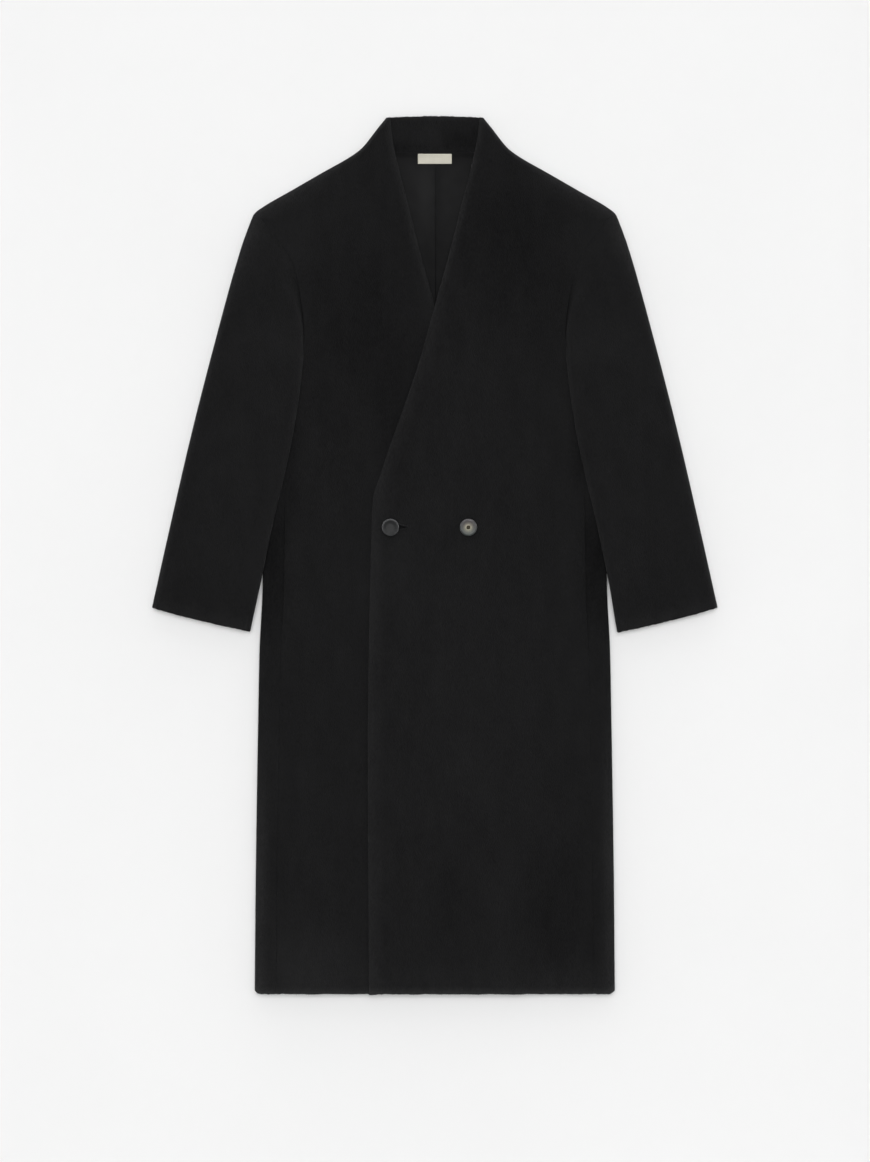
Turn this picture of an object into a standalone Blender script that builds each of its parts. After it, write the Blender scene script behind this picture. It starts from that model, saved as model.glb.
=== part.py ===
"""Long black wool coat without lapels, laid flat on its back and fastened left over right.

Each piece that is cut and sewn is a wall of cloth in its own object: a grid of points on the
middle of the cloth, thickened to both sides. +X is the wearer's left, +Y runs from hem to collar
and +Z is up off the surface that the coat lies on. Sizes are in millimetres, and meshes are
scaled to metres as they are made.
"""
from collections import namedtuple
from math import pi

import bmesh
import bpy
import numpy as np

MM = 0.001

# Cloth and seams
WALL = 2.5
LINING_WALL = 1.0
LABEL_WALL = 1.0
SEAM = 0.3

# Height of the middle of each layer above the surface
BACK_MID = WALL / 2
FACING_MID = BACK_MID + WALL + SEAM
FRONT_MID = FACING_MID + WALL + SEAM
LAP_LIFT = WALL + 2 * SEAM
LINING_MID = WALL + SEAM + LINING_WALL / 2
LABEL_MID = LINING_MID + (LINING_WALL + LABEL_WALL) / 2 + SEAM
UNDER_SLEEVE_MID = FRONT_MID + WALL + SEAM
SLEEVE_CROWN = UNDER_SLEEVE_MID + WALL + 1.0
LOW_CROWN = 9.0

# Lengths along the coat
LENGTH = 1272.0
TOP = LENGTH / 2
HEM = -LENGTH / 2
UNDERARM = 262.0
UNDERARM_REACH = 50.0
FOLD_START = 322.0
SHOULDER_TIP = 487.0
TIP_JOG = 4.0
TIP_REACH = 60.0
TIP_EASE = 1.6
BAND_LOW = 583.8

# Edges that roll over: the rim's height, the radius on shoulder and collar, the sleeve's inner fold
RIM = 0.8
SHOULDER_ROLL = 10.0
COLLAR_ROLL = 5.0
COLLAR_START = 545.0
COLLAR_REACH = 45.0
FOLD_ROLL = 9.0
HEAD_ROLL = 28.0
FOLD_RIM = FRONT_MID + WALL / 2 + 3 * SEAM
ROLLED_INSET = 4.6
FOLD_INSET = 6.1
BAND_INSET = 2.0
WIDEST_ROLL = 0.6
WIDEST_SLEEVE_ROLL = 0.45

# Side seam, in front of the side fold, and the pocket mouth left open in it
SEAM_INSET = 31.0
POCKET_LOW = -130.0
POCKET_HIGH = 70.0
POCKET_GAPE = 2.2
FOLD_FADE = 40.0

# Lining, label and buttons
NECK_LOW = 370.0
LINING_LOW = 345.0
LINING_TUCK = 38.0
PLEAT_HEIGHT = 1.1
PLEAT_WIDTH = 16.0
PLEAT_FADE_LOW = 535.0
PLEAT_FADE_HIGH = 562.0
LABEL_SIZE = (49.0, 16.5)
LABEL_TOP = 583.3
BUTTON_RADIUS = 12.7
BUTTON_THICK = 4.5
BUTTON_Y = 40.0
FASTENED_X = -64.2
OUTER_X = 48.6
SHANK_RADIUS = 1.4
HOLE_NARROW = 0.5
HOLE_WIDE = 1.8
HOLE_END = 24.0

# Slopes where cloth comes down past what it lies on: the overlapping front, the sleeve on the body
LAP_MARGIN = 26.0
LAP_RAMP = 42.0
BODY_MARGIN = 10.0
BODY_RAMP = 36.0

# Half-widths at heights along the coat, measured on its right-hand half
Edge = namedtuple("Edge", "y x")
SIDE_FOLD = (Edge(-636, 260.9), Edge(-471, 259.5), Edge(-239, 255.9), Edge(-43, 249.5), Edge(262, 247))
FRONT_ARMHOLE = (
    Edge(262, 216), Edge(290, 197), Edge(319, 189.0), Edge(363, 192.9), Edge(413, 203.0),
    Edge(442, 217.5), Edge(468.5, 238.0), Edge(487, 251.5),
)
BACK_ARMHOLE = (
    Edge(262, 243), Edge(290, 221), Edge(325, 207), Edge(370, 204), Edge(420, 211), Edge(455, 226),
    Edge(487, 246),
)
SHOULDER = (
    Edge(487, 266.0), Edge(494.6, 262.1), Edge(503.3, 251.6), Edge(529.4, 206.9), Edge(555.5, 161.9),
    Edge(572.9, 130.6), Edge(581.6, 117.0), Edge(590.3, 106.4), Edge(607.7, 91.0), Edge(636, 69.2),
)
FRONT_EDGE = (
    Edge(-636, -95.4), Edge(-278, -96.9), Edge(20, -92.2), Edge(80, -89.6), Edge(114, -79.5),
    Edge(165, -62.4), Edge(225, -41.0), Edge(289, -19.7), Edge(370, 2.5), Edge(435, 20.5),
    Edge(500, 36.8), Edge(551, 50.0), Edge(604, 61.5), Edge(636, 64.8),
)

# Sections across a sleeve, from its head to its cuff; lap is 0 where the head is sewn to the
# front and 1 where the sleeve's inner fold lies on the front
Section = namedtuple("Section", "inner_y inner_x outer_y outer_x lap")
SLEEVE = (
    Section(487, 251.5, 490, 264.6, 0), Section(459, 231.0, 457, 277.0, 0),
    Section(435, 213.0, 428, 286.2, 0), Section(410, 202.0, 394, 296.0, 0),
    Section(370, 194.0, 355, 306.6, 0.6), Section(FOLD_START, 189.2, 311, 318.3, 1),
    Section(262, 193.6, 267, 329.9, 1), Section(190, 203.6, 203, 346.2, 1),
    Section(120, 217.6, 137, 362.1, 1), Section(47, 235.0, 71, 377.2, 1),
    Section(-30, 250.8, 0, 393.2, 1), Section(-111.5, 266.8, -72.4, 409.4, 1),
)

# Soft folds in the skirt of the fronts: middle, ends, half-width and height of each
Fold = namedtuple("Fold", "x low high width height")
SKIRT_FOLDS = (
    Fold(x=25, low=-700, high=-300, width=26, height=-1.1),
    Fold(x=88, low=-720, high=-250, width=30, height=1.2),
    Fold(x=175, low=-740, high=-330, width=34, height=-1.2),
    Fold(x=-170, low=-760, high=-470, width=40, height=1.3),
    Fold(x=-120, low=-640, high=-200, width=20, height=-0.7),
)

# Turned face of a button from its middle round its rim to its underside: radius, and depth below its top
Turn = namedtuple("Turn", "radius below")
BUTTON_FACE = (
    Turn(0, 1.4), Turn(5.0, 1.4), Turn(7.6, 0.9), Turn(9.0, 0.2), Turn(10.6, 0), Turn(12.0, 0.6),
    Turn(BUTTON_RADIUS, 2.0), Turn(11.4, BUTTON_THICK - 0.6), Turn(8.0, BUTTON_THICK),
)

# Rows shared by the pieces that meet along them
SKIRT_ROWS = np.linspace(HEM, UNDERARM, 14)
ARMHOLE_ROWS = np.linspace(UNDERARM, SHOULDER_TIP, 13)
SHOULDER_ROWS = np.linspace(SHOULDER_TIP + TIP_JOG, TOP, 14)
BODY_ROWS = np.concatenate((SKIRT_ROWS[:-1], ARMHOLE_ROWS, SHOULDER_ROWS))
SLEEVE_ROWS = np.concatenate((ARMHOLE_ROWS[::-1], np.linspace(UNDERARM, SLEEVE[-1].inner_y, 11)[1:]))
QUARTER = np.linspace(0, pi / 2, 5)

# Columns across a front, an upper sleeve and an under sleeve, and steps round a fold and a button
FRONT_COLUMNS = 10
UPPER_COLUMNS = 6
UNDER_COLUMNS = 13
FOLD_STEPS = 6
BUTTON_STEPS = 20


def smooth(known, values, wanted):
    """Cubic through the known rows, with its slopes limited so that it never overshoots."""
    known = np.asarray(known, dtype=float)
    values = np.asarray(values, dtype=float)
    chord = np.diff(values) / np.diff(known)
    before, after = chord[:-1], chord[1:]
    product = np.maximum(before * after, 0)
    total = np.where(product > 0, before + after, 1.0)
    slope = np.concatenate((chord[:1], 2 * product / total, chord[-1:]))
    wanted = np.clip(wanted, known[0], known[-1])
    row = np.clip(np.searchsorted(known, wanted, side="right") - 1, 0, len(chord) - 1)
    span = known[row + 1] - known[row]
    part = (wanted - known[row]) / span
    return (
        values[row] * (1 + 2 * part) * (1 - part) ** 2
        + values[row + 1] * part ** 2 * (3 - 2 * part)
        + slope[row] * span * part * (1 - part) ** 2
        - slope[row + 1] * span * part ** 2 * (1 - part)
    )


def half_width(edges, y):
    """Half-width of one edge table at heights y."""
    return smooth([edge.y for edge in edges], [edge.x for edge in edges], y)


def sleeve_column(name, inner_y):
    """One column of the sleeve's sections, read at heights on its inner edge."""
    rows = SLEEVE[::-1]
    return smooth([row.inner_y for row in rows], [getattr(row, name) for row in rows], inner_y)


def ease(part):
    """Smooth step from 0 to 1."""
    part = np.clip(part, 0, 1)
    return part * part * (3 - 2 * part)


def rounded(part):
    """Height of a quarter-round roll, from 0 at its rim to 1 where it ends."""
    return np.sqrt(1 - (1 - np.clip(part, 0, 1)) ** 2)


def near_tip(y):
    """From 0 down the armhole to 1 at the shoulder tip, where the seam bends over the edge."""
    return ease((y - SHOULDER_TIP + TIP_REACH) / TIP_REACH)


def shoulder_stretch(y):
    """Length along X of one unit measured square to the shoulder line."""
    step = 0.5
    slope = (half_width(SHOULDER, y + step) - half_width(SHOULDER, y - step)) / (2 * step)
    return np.sqrt(1 + slope ** 2)


def roll_radius(y):
    """Radius of the rolled outer edge: full on shoulder and sleeve, small on the collar."""
    return SHOULDER_ROLL + (COLLAR_ROLL - SHOULDER_ROLL) * ease((y - COLLAR_START) / COLLAR_REACH)


OUTLINE = np.concatenate((
    np.stack((half_width(SHOULDER, SHOULDER_ROWS[::-1]), SHOULDER_ROWS[::-1]), axis=1),
    np.stack((sleeve_column("outer_x", SLEEVE_ROWS), sleeve_column("outer_y", SLEEVE_ROWS)), axis=1),
))


def outline_distance(x, y):
    """Shortest way from each point to the coat's shoulder and outer sleeve line."""
    start = OUTLINE[:-1]
    run = OUTLINE[1:] - start
    off_x = x[..., None] - start[:, 0]
    off_y = y[..., None] - start[:, 1]
    along = np.clip((off_x * run[:, 0] + off_y * run[:, 1]) / (run ** 2).sum(axis=1), 0, 1)
    return np.hypot(off_x - along * run[:, 0], off_y - along * run[:, 1]).min(axis=-1)


def outer_roll(x, y):
    """How far each point has climbed from the rolled outer edge: 0 at the rim, 1 past the roll."""
    return rounded((outline_distance(x, y) - WALL / 2) / roll_radius(y))


def body_distance(x, y):
    """How far each point lies outside the body's side fold and above its underarm."""
    return np.hypot(np.maximum(x - half_width(SIDE_FOLD, y), 0), np.maximum(y - UNDERARM, 0))


def skirt_fold(x, y):
    """Height of the soft folds, none at the side seams."""
    height = np.zeros_like(x)
    for fold in SKIRT_FOLDS:
        across = np.exp(-((x - fold.x) / fold.width) ** 2)
        middle = (fold.low + fold.high) / 2
        along = ease(1 - np.abs(y - middle) / ((fold.high - fold.low) / 2))
        height += fold.height * across * along
    return height * ease((side_seam(y) - np.abs(x)) / FOLD_FADE)


def pocket_gape(y):
    """Half of the opening between front and back at the side seam."""
    part = (y - POCKET_LOW) / (POCKET_HIGH - POCKET_LOW)
    return SEAM / 2 + POCKET_GAPE / 2 * np.sin(pi * np.clip(part, 0, 1)) ** 2


def side_seam(y):
    """Half-width of the side seam."""
    return half_width(SIDE_FOLD, y) - SEAM_INSET


def front_outer(y):
    """Outer edge of a front's middle: side seam, armhole, then shoulder and collar side."""
    shoulder = half_width(SHOULDER, y) - WALL / 2 * shoulder_stretch(y)
    sewn = np.where(y < UNDERARM, side_seam(y) - pocket_gape(y), half_width(FRONT_ARMHOLE, y))
    return np.where(y > SHOULDER_TIP, shoulder, sewn)


def back_outer(y):
    """Outer edge of the back where it lies on the surface: armhole, then inside the rolled shoulder."""
    shoulder = half_width(SHOULDER, y) - ROLLED_INSET * shoulder_stretch(y)
    return np.where(y > SHOULDER_TIP, shoulder, half_width(BACK_ARMHOLE, y))


def finish(name, colour, roughness, sheen=0.0):
    """Plain Principled material in one colour."""
    material = bpy.data.materials.new(name)
    material.use_nodes = True
    shader = material.node_tree.nodes["Principled BSDF"]
    shader.inputs["Base Color"].default_value = (*colour, 1)
    shader.inputs["Roughness"].default_value = roughness
    shader.inputs["Sheen Weight"].default_value = sheen
    material.diffuse_color = (*colour, 1)
    return material


def add_object(name, vertices, faces, material):
    """New object from points in millimetres."""
    mesh = bpy.data.meshes.new(name)
    mesh.from_pydata([tuple(point) for point in np.asarray(vertices) * MM], [], faces)
    mesh.materials.append(material)
    mesh.shade_smooth()
    mesh.set_sharp_from_angle(angle=pi / 4)
    piece = bpy.data.objects.new(name, mesh)
    bpy.context.collection.objects.link(piece)
    return piece


def add_cloth(name, grid, wall, material, even=False):
    """Wall of cloth around a grid of middle points; points that are not numbers are left out."""
    rows, columns = grid.shape[:2]
    present = ~np.isnan(grid[..., 2])
    number = np.cumsum(present).reshape(rows, columns) - 1
    faces = []
    for row in range(rows - 1):
        for column in range(columns - 1):
            corners = ((row, column), (row, column + 1), (row + 1, column + 1), (row + 1, column))
            if all(present[corner] for corner in corners):
                faces.append([int(number[corner]) for corner in corners])
    piece = add_object(name, grid[present], faces, material)
    thicken = piece.modifiers.new("wall", "SOLIDIFY")
    thicken.thickness = wall * MM
    thicken.offset = 0
    thicken.use_even_offset = even
    return piece


def mirrored(grid, side):
    """The same piece on the wearer's left (side 1) or right (side -1)."""
    return grid * np.array((side, 1, 1))


def make_back(material):
    """Back on the surface; below the underarm its sides wrap over the side folds to the side seam."""
    y = BODY_ROWS[:, None]
    fold = half_width(SIDE_FOLD, y)
    radius = (FRONT_MID - BACK_MID) / 2
    turn = fold - WALL / 2 - radius
    seam = side_seam(y) + pocket_gape(y)
    angles = np.linspace(pi / 2, -pi / 2, FOLD_STEPS + 1)
    strip_x = seam + (turn - seam) * np.linspace(0, 1, 3)[:-1]
    wrap_x = np.concatenate((strip_x, turn + radius * np.cos(angles)), axis=1)
    wrap_z = np.concatenate((np.full(2, FRONT_MID), (FRONT_MID + BACK_MID) / 2 + radius * np.sin(angles)))
    wrap_z = np.broadcast_to(wrap_z, wrap_x.shape).copy()
    above = BODY_ROWS > UNDERARM
    wrap_x[above, -1] = back_outer(BODY_ROWS[above])
    wrap_z[above, :-1] = np.nan
    middle = np.zeros_like(y)
    x = np.concatenate((wrap_x, middle, -wrap_x[:, ::-1]), axis=1)
    z = np.concatenate((wrap_z, middle + BACK_MID, wrap_z[:, ::-1]), axis=1)
    grid = np.stack((x, np.broadcast_to(y, x.shape), z), axis=2)
    add_cloth("back", grid, WALL, material, even=True)


def make_front(name, side, material):
    """One front with its half of the collar, rolled over at shoulder and collar side.

    The left front lies on the right front where they overlap, and comes down past its hidden edge.
    """
    y = BODY_ROWS[:, None]
    inner = half_width(FRONT_EDGE, y)
    outer = front_outer(y)
    roll = np.minimum(roll_radius(y) * shoulder_stretch(y), WIDEST_ROLL * (outer - inner))
    flat_x = inner + (outer - roll - inner) * np.linspace(0, 1, FRONT_COLUMNS + 1)[:-1]
    roll_x = outer - roll * (1 - np.sin(QUARTER))
    x = np.concatenate((flat_x, roll_x), axis=1)
    y = np.broadcast_to(y, x.shape)
    level = FRONT_MID + skirt_fold(side * x, y)
    if side > 0:
        past_hidden_edge = x + half_width(FRONT_EDGE, y) - LAP_MARGIN
        level = level + LAP_LIFT * ease(1 - past_hidden_edge / LAP_RAMP)
    z = RIM + (level - RIM) * outer_roll(x, y)
    return add_cloth(name, mirrored(np.stack((x, y, z), axis=2), side), WALL, material)


def make_upper_sleeve(name, side, material):
    """Upper half of a sleeve: sewn flush at its head, folded over the front below, rolled outside."""
    inner_y = SLEEVE_ROWS[:, None]
    lap = sleeve_column("lap", inner_y)
    outer_x = sleeve_column("outer_x", inner_y) - WALL / 2
    outer_y = sleeve_column("outer_y", inner_y)
    folded_x = sleeve_column("inner_x", inner_y) + WALL / 2
    sewn_x = half_width(FRONT_ARMHOLE, inner_y) + SEAM + WALL / 2 * (lap + TIP_EASE * near_tip(inner_y))
    inner_x = np.where(inner_y > FOLD_START, sewn_x, folded_x)
    width = outer_x - inner_x
    inner_roll = np.minimum(HEAD_ROLL + (FOLD_ROLL - HEAD_ROLL) * lap, WIDEST_SLEEVE_ROLL * width)
    outer_width = np.minimum(SHOULDER_ROLL, WIDEST_SLEEVE_ROLL * width)
    near = inner_roll * (1 - np.cos(QUARTER))
    far = width - outer_width * (1 - np.sin(QUARTER))
    between = near[:, -1:] + (far[:, :1] - near[:, -1:]) * np.linspace(0, 1, UPPER_COLUMNS + 1)[1:-1]
    from_inner = np.concatenate((near, between, far), axis=1)
    x = inner_x + from_inner
    y = inner_y + (outer_y - inner_y) * from_inner / width
    on_body = ease(1 - (body_distance(x, y) - BODY_MARGIN) / (2 * BODY_RAMP))
    crown = LOW_CROWN + (SLEEVE_CROWN - LOW_CROWN) * on_body
    rim = FRONT_MID + (FOLD_RIM - FRONT_MID) * lap
    climbed = from_inner / inner_roll
    level = rim + (crown - rim) * (ease(climbed) + (rounded(climbed) - ease(climbed)) * lap)
    z = RIM + (level - RIM) * outer_roll(x, y)
    add_cloth(name, mirrored(np.stack((x, y, z), axis=2), side), WALL, material)


def make_under_sleeve(name, side, material):
    """Under half of a sleeve: on the surface, and up over the body's side where it lies on it."""
    inner_y = SLEEVE_ROWS[:, None]
    outer_x = sleeve_column("outer_x", inner_y) - ROLLED_INSET
    outer_y = sleeve_column("outer_y", inner_y) - ROLLED_INSET * near_tip(inner_y)
    inside_fold = sleeve_column("inner_x", inner_y) + FOLD_INSET
    sewn = half_width(BACK_ARMHOLE, inner_y) + SEAM
    inner_x = sewn + (inside_fold - sewn) * ease((UNDERARM - inner_y) / UNDERARM_REACH)
    part = np.linspace(0, 1, UNDER_COLUMNS + 1)
    x = inner_x + (outer_x - inner_x) * part
    y = inner_y + (outer_y - inner_y) * part
    climb = ease(1 - (body_distance(x, y) - BODY_MARGIN) / BODY_RAMP)
    z = BACK_MID + (UNDER_SLEEVE_MID - BACK_MID) * climb
    add_cloth(name, mirrored(np.stack((x, y, z), axis=2), side), WALL, material)


def make_neck_facing(material):
    """Band of wool inside the back collar, from its top edge down to the lining."""
    y = np.linspace(BAND_LOW, TOP, 7)[:, None]
    under_front = half_width(SHOULDER, y) - (WALL / 2 + roll_radius(y) + BAND_INSET) * shoulder_stretch(y)
    half = np.maximum(under_front, half_width(FRONT_EDGE, y) - WALL / 2)
    x = half * np.linspace(-1, 1, 3)
    y = np.broadcast_to(y, x.shape)
    add_cloth("neck_facing", np.stack((x, y, np.full_like(x, FACING_MID)), axis=2), WALL, material)


def make_back_lining(material):
    """Lining below the band, tucked under the fronts, with a pleat laid to the wearer's right."""
    y = np.linspace(LINING_LOW, BAND_LOW - SEAM, 13)[:, None]
    half = half_width(FRONT_EDGE, np.maximum(y, NECK_LOW)) + LINING_TUCK
    pleat = PLEAT_WIDTH * np.array((-1, -0.6, -0.25, 0, 0.06))
    outside = half - PLEAT_WIDTH
    left = -PLEAT_WIDTH - outside * np.array((1, 0.5))
    right = pleat[-1] + outside * np.array((0.5, 1))
    x = np.concatenate((left, np.broadcast_to(pleat, (len(y), len(pleat))), right), axis=1)
    y = np.broadcast_to(y, x.shape)
    fade = ease((PLEAT_FADE_HIGH - y) / (PLEAT_FADE_HIGH - PLEAT_FADE_LOW))
    climb = ease(1 + x / PLEAT_WIDTH) * (x <= 0)
    z = LINING_MID + PLEAT_HEIGHT * climb * fade
    add_cloth("back_lining", np.stack((x, y, z), axis=2), LINING_WALL, material)


def make_label(material):
    """Bare woven label on the lining, just under the band."""
    width, depth = LABEL_SIZE
    x, y = np.meshgrid(np.linspace(-width / 2, width / 2, 2), LABEL_TOP - np.array((depth, 0)))
    add_cloth("label", np.stack((x, y, np.full_like(x, LABEL_MID)), axis=2), LABEL_WALL, material)


def make_button(name, x, shank_low, material):
    """Turned button with a raised rim and a dished middle, on a thread shank."""
    low = FRONT_MID + LAP_LIFT + WALL / 2 + SEAM
    high = low + BUTTON_THICK
    face = [(turn.radius, high - turn.below) for turn in BUTTON_FACE]
    profile = face + [(SHANK_RADIUS, low), (SHANK_RADIUS, shank_low), (0, shank_low)]
    shape = bmesh.new()
    points = [shape.verts.new((radius, 0, height)) for radius, height in profile]
    lines = [shape.edges.new(pair) for pair in zip(points, points[1:])]
    turned = {"axis": (0, 0, 1), "cent": (0, 0, 0), "angle": 2 * pi, "steps": BUTTON_STEPS}
    bmesh.ops.spin(shape, geom=points + lines, **turned)
    bmesh.ops.remove_doubles(shape, verts=shape.verts, dist=0.01)
    bmesh.ops.recalc_face_normals(shape, faces=shape.faces)
    place = np.array((x, BUTTON_Y, 0))
    vertices = [np.array(point.co) + place for point in shape.verts]
    shape.verts.index_update()
    faces = [[point.index for point in face.verts] for face in shape.faces]
    shape.free()
    add_object(name, vertices, faces, material)


def cut_buttonhole(front, material):
    """Slit through the left front, wide at the shank and narrow at its inner end."""
    low = FRONT_MID + LAP_LIFT - 2 * WALL
    high = FRONT_MID + LAP_LIFT + 2 * WALL
    corners = (
        (-2 * HOLE_WIDE, -HOLE_WIDE), (2 * HOLE_WIDE, -HOLE_WIDE), (HOLE_END, -HOLE_NARROW),
        (HOLE_END, HOLE_NARROW), (2 * HOLE_WIDE, HOLE_WIDE), (-2 * HOLE_WIDE, HOLE_WIDE),
    )
    count = len(corners)
    vertices = [(FASTENED_X + x, BUTTON_Y + y, z) for z in (low, high) for x, y in corners]
    sides = [(i, (i + 1) % count, (i + 1) % count + count, i + count) for i in range(count)]
    caps = [tuple(range(count))[::-1], tuple(range(count, 2 * count))]
    cutter = add_object("buttonhole_cutter", vertices, sides + caps, material)
    cutter.hide_render = True
    cutter.display_type = "WIRE"
    slit = front.modifiers.new("buttonhole", "BOOLEAN")
    slit.operation = "DIFFERENCE"
    slit.object = cutter


def main():
    """Clear the scene and make the coat."""
    for thing in list(bpy.data.objects):
        bpy.data.objects.remove(thing)
    shell = finish("wool_shell", (0.011, 0.011, 0.012), 0.92, sheen=0.3)
    satin = finish("lining_satin", (0.014, 0.014, 0.015), 0.45)
    woven = finish("label_cloth", (0.6, 0.58, 0.5), 0.8)
    dark = finish("button_dark", (0.03, 0.031, 0.033), 0.35)
    horn = finish("button_horn", (0.16, 0.15, 0.12), 0.35)
    make_back(shell)
    make_neck_facing(shell)
    make_back_lining(satin)
    make_label(woven)
    make_front("front_right", -1, shell)
    front_left = make_front("front_left", 1, shell)
    cut_buttonhole(front_left, shell)
    for name, side in (("right", -1), ("left", 1)):
        make_under_sleeve(f"sleeve_{name}_under", side, shell)
        make_upper_sleeve(f"sleeve_{name}_upper", side, shell)
    front_top = FRONT_MID + WALL / 2
    make_button("button_fastened", FASTENED_X, front_top + SEAM, dark)
    make_button("button_outer", OUTER_X, front_top + LAP_LIFT + SEAM / 2, horn)


main()
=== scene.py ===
"""Looks of a long black wool coat without lapels, laid flat on its back and fastened left over right.

Every cut piece of the frame is replaced by a closed wall of cloth on the same form: a grid of points
on the middle of the cloth, moved out along its normals to both faces, with rounded edges. Creases,
loose hairs at the edges, stitches and finishes come on top. Sizes are in millimetres and become
metres as meshes are made. +X is the wearer's left, +Y runs from hem to collar and +Z is up off the
surface that the coat lies on.
"""

from collections import namedtuple
from math import pi

import bpy
import numpy as np
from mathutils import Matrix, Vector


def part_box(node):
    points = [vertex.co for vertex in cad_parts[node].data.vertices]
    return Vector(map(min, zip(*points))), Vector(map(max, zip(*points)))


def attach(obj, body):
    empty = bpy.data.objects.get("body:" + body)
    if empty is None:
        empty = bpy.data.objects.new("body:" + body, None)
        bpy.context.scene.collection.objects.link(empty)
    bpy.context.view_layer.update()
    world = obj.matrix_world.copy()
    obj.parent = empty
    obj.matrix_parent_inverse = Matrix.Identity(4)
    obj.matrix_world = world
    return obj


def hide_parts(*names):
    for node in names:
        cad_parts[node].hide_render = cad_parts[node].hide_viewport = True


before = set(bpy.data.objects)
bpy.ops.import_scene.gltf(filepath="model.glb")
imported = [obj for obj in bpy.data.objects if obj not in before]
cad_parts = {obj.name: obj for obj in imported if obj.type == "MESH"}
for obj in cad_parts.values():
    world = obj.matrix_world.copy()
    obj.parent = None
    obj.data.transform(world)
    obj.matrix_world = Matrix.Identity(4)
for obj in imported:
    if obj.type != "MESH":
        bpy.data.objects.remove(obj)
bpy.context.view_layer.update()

MM = 0.001


def corners(node):
    """Lowest and highest corner of a node of the frame, in millimetres."""
    low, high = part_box(node)
    return np.array(low) / MM, np.array(high) / MM


# Places and thicknesses read from the frame
back_low, back_high = corners("back")
band_low, band_high = corners("neck_facing")
satin_low, _ = corners("back_lining")
label_low, label_high = corners("label")
fastened_low, fastened_high = corners("button_fastened")
outer_low, outer_high = corners("button_outer")

HEM = back_low[1]
TOP = back_high[1]
WALL = band_high[2] - band_low[2]
LABEL_WALL = label_high[2] - label_low[2]
LINING_WALL = 1.0
SEAM = 0.3
BUTTON_RADIUS = (outer_high[0] - outer_low[0]) / 2
BUTTON_Y = (outer_high[1] + outer_low[1]) / 2
BUTTON_TOP = outer_high[2]
FASTENED_X = (fastened_high[0] + fastened_low[0]) / 2
OUTER_X = (outer_high[0] + outer_low[0]) / 2

# Height of the middle of each layer above the surface
BACK_MID = WALL / 2
FACING_MID = (band_low[2] + band_high[2]) / 2
FRONT_MID = FACING_MID + WALL + SEAM
LAP_LIFT = WALL + 2 * SEAM
LINING_MID = satin_low[2] + LINING_WALL / 2
LABEL_MID = (label_low[2] + label_high[2]) / 2
UNDER_SLEEVE_MID = FRONT_MID + WALL + SEAM
SLEEVE_CROWN = UNDER_SLEEVE_MID + WALL + 1.0
LOW_CROWN = 9.0

# Lengths along the coat
UNDERARM = 262.0
UNDERARM_REACH = 50.0
UNDERARM_CLOSE = 12.0
FOLD_START = 322.0
SHOULDER_TIP = 487.0
TIP_JOG = 4.0
TIP_REACH = 60.0
TIP_RISE = 1.0
BAND_LOW = band_low[1]
NECK_POINT = 362.0
NECK_FADE = 60.0

# Edges: rim height and radii where cloth rolls over, how far hidden edges lie inside or are tucked
# under, and the rounding of free and sewn edges
RIM = 0.8
SHOULDER_ROLL = 10.0
COLLAR_ROLL = 5.0
COLLAR_START = 545.0
COLLAR_REACH = 45.0
FOLD_ROLL = 9.0
HEAD_ROLL = 28.0
FOLD_RIM = FRONT_MID + WALL / 2 + 3 * SEAM
ROLLED_INSET = 2.8
FOLD_INSET = 2.3
BAND_INSET = 2.0
BAND_TUCK = 1.4
WIDEST_SLEEVE_ROLL = 0.45
SIDE_ROLL = 15.0
SIDE_UNDER_ROLL = 4.0
FREE_ROUND = WALL / 2
SEWN_ROUND = 0.2
SEWN_GAP = 0.04

# Side seam in front of the side fold, with the pocket mouth: the front's lip stands proud of the
# back's strip, which sinks there and runs on under the lip
SEAM_INSET = 31.0
POCKET_LOW = -150.0
POCKET_HIGH = 90.0
POCKET_LIP = 1.0
POCKET_SINK = 1.8
POCKET_TUCK = 5.0
LIP_WIDTH = 16.0
FOLD_FADE = 40.0

# Soft swelling along the front edge, where the cloth is turned in
EDGE_PUFF = 1.1
PUFF_PEAK = 9.0
PUFF_WIDTH = 8.0

# Lining, its pleat with places across it, and its rise to the band
NECK_LOW = 370.0
LINING_LOW = 345.0
LINING_TUCK = 38.0
PLEAT_HEIGHT = 0.8
PLEAT_WIDTH = 16.0
PLEAT_ACROSS = np.concatenate((np.linspace(-1, 0, 13), (0.03, 0.07, 0.11)))
PLEAT_FADE_LOW = 552.0
PLEAT_FADE_HIGH = 574.0
LINING_RISE = 1.3
RISE_REACH = 9.0
RISE_PLACES = np.array((0.8, 0.6, 0.4, 0.2))

# Slit of the buttonhole: its half-widths, and its ends from the fastened button's middle
HOLE_NARROW = 0.25
HOLE_WIDE = 3.0
HOLE_START = -3.6
HOLE_END = 24.0
HOLE_REACH = 5.0

# The collar's top edge is bowed: lower at its corners than in its middle
COLLAR_BOW = 2.0
COLLAR_HALF = 66.0

# Slopes where cloth comes down past what it lies on
LAP_MARGIN = 26.0
LAP_RAMP = 42.0
BODY_MARGIN = 10.0
BODY_RAMP = 36.0

# Hem: rounded corners at the side folds, a slightly uneven edge and a front corner that dips
HEM_CORNER = 9.0
HEM_REACH = 45.0
HEM_UNEVEN = 0.65
CORNER_DIP = 0.9
CORNER_WIDTH = 12.0

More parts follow.
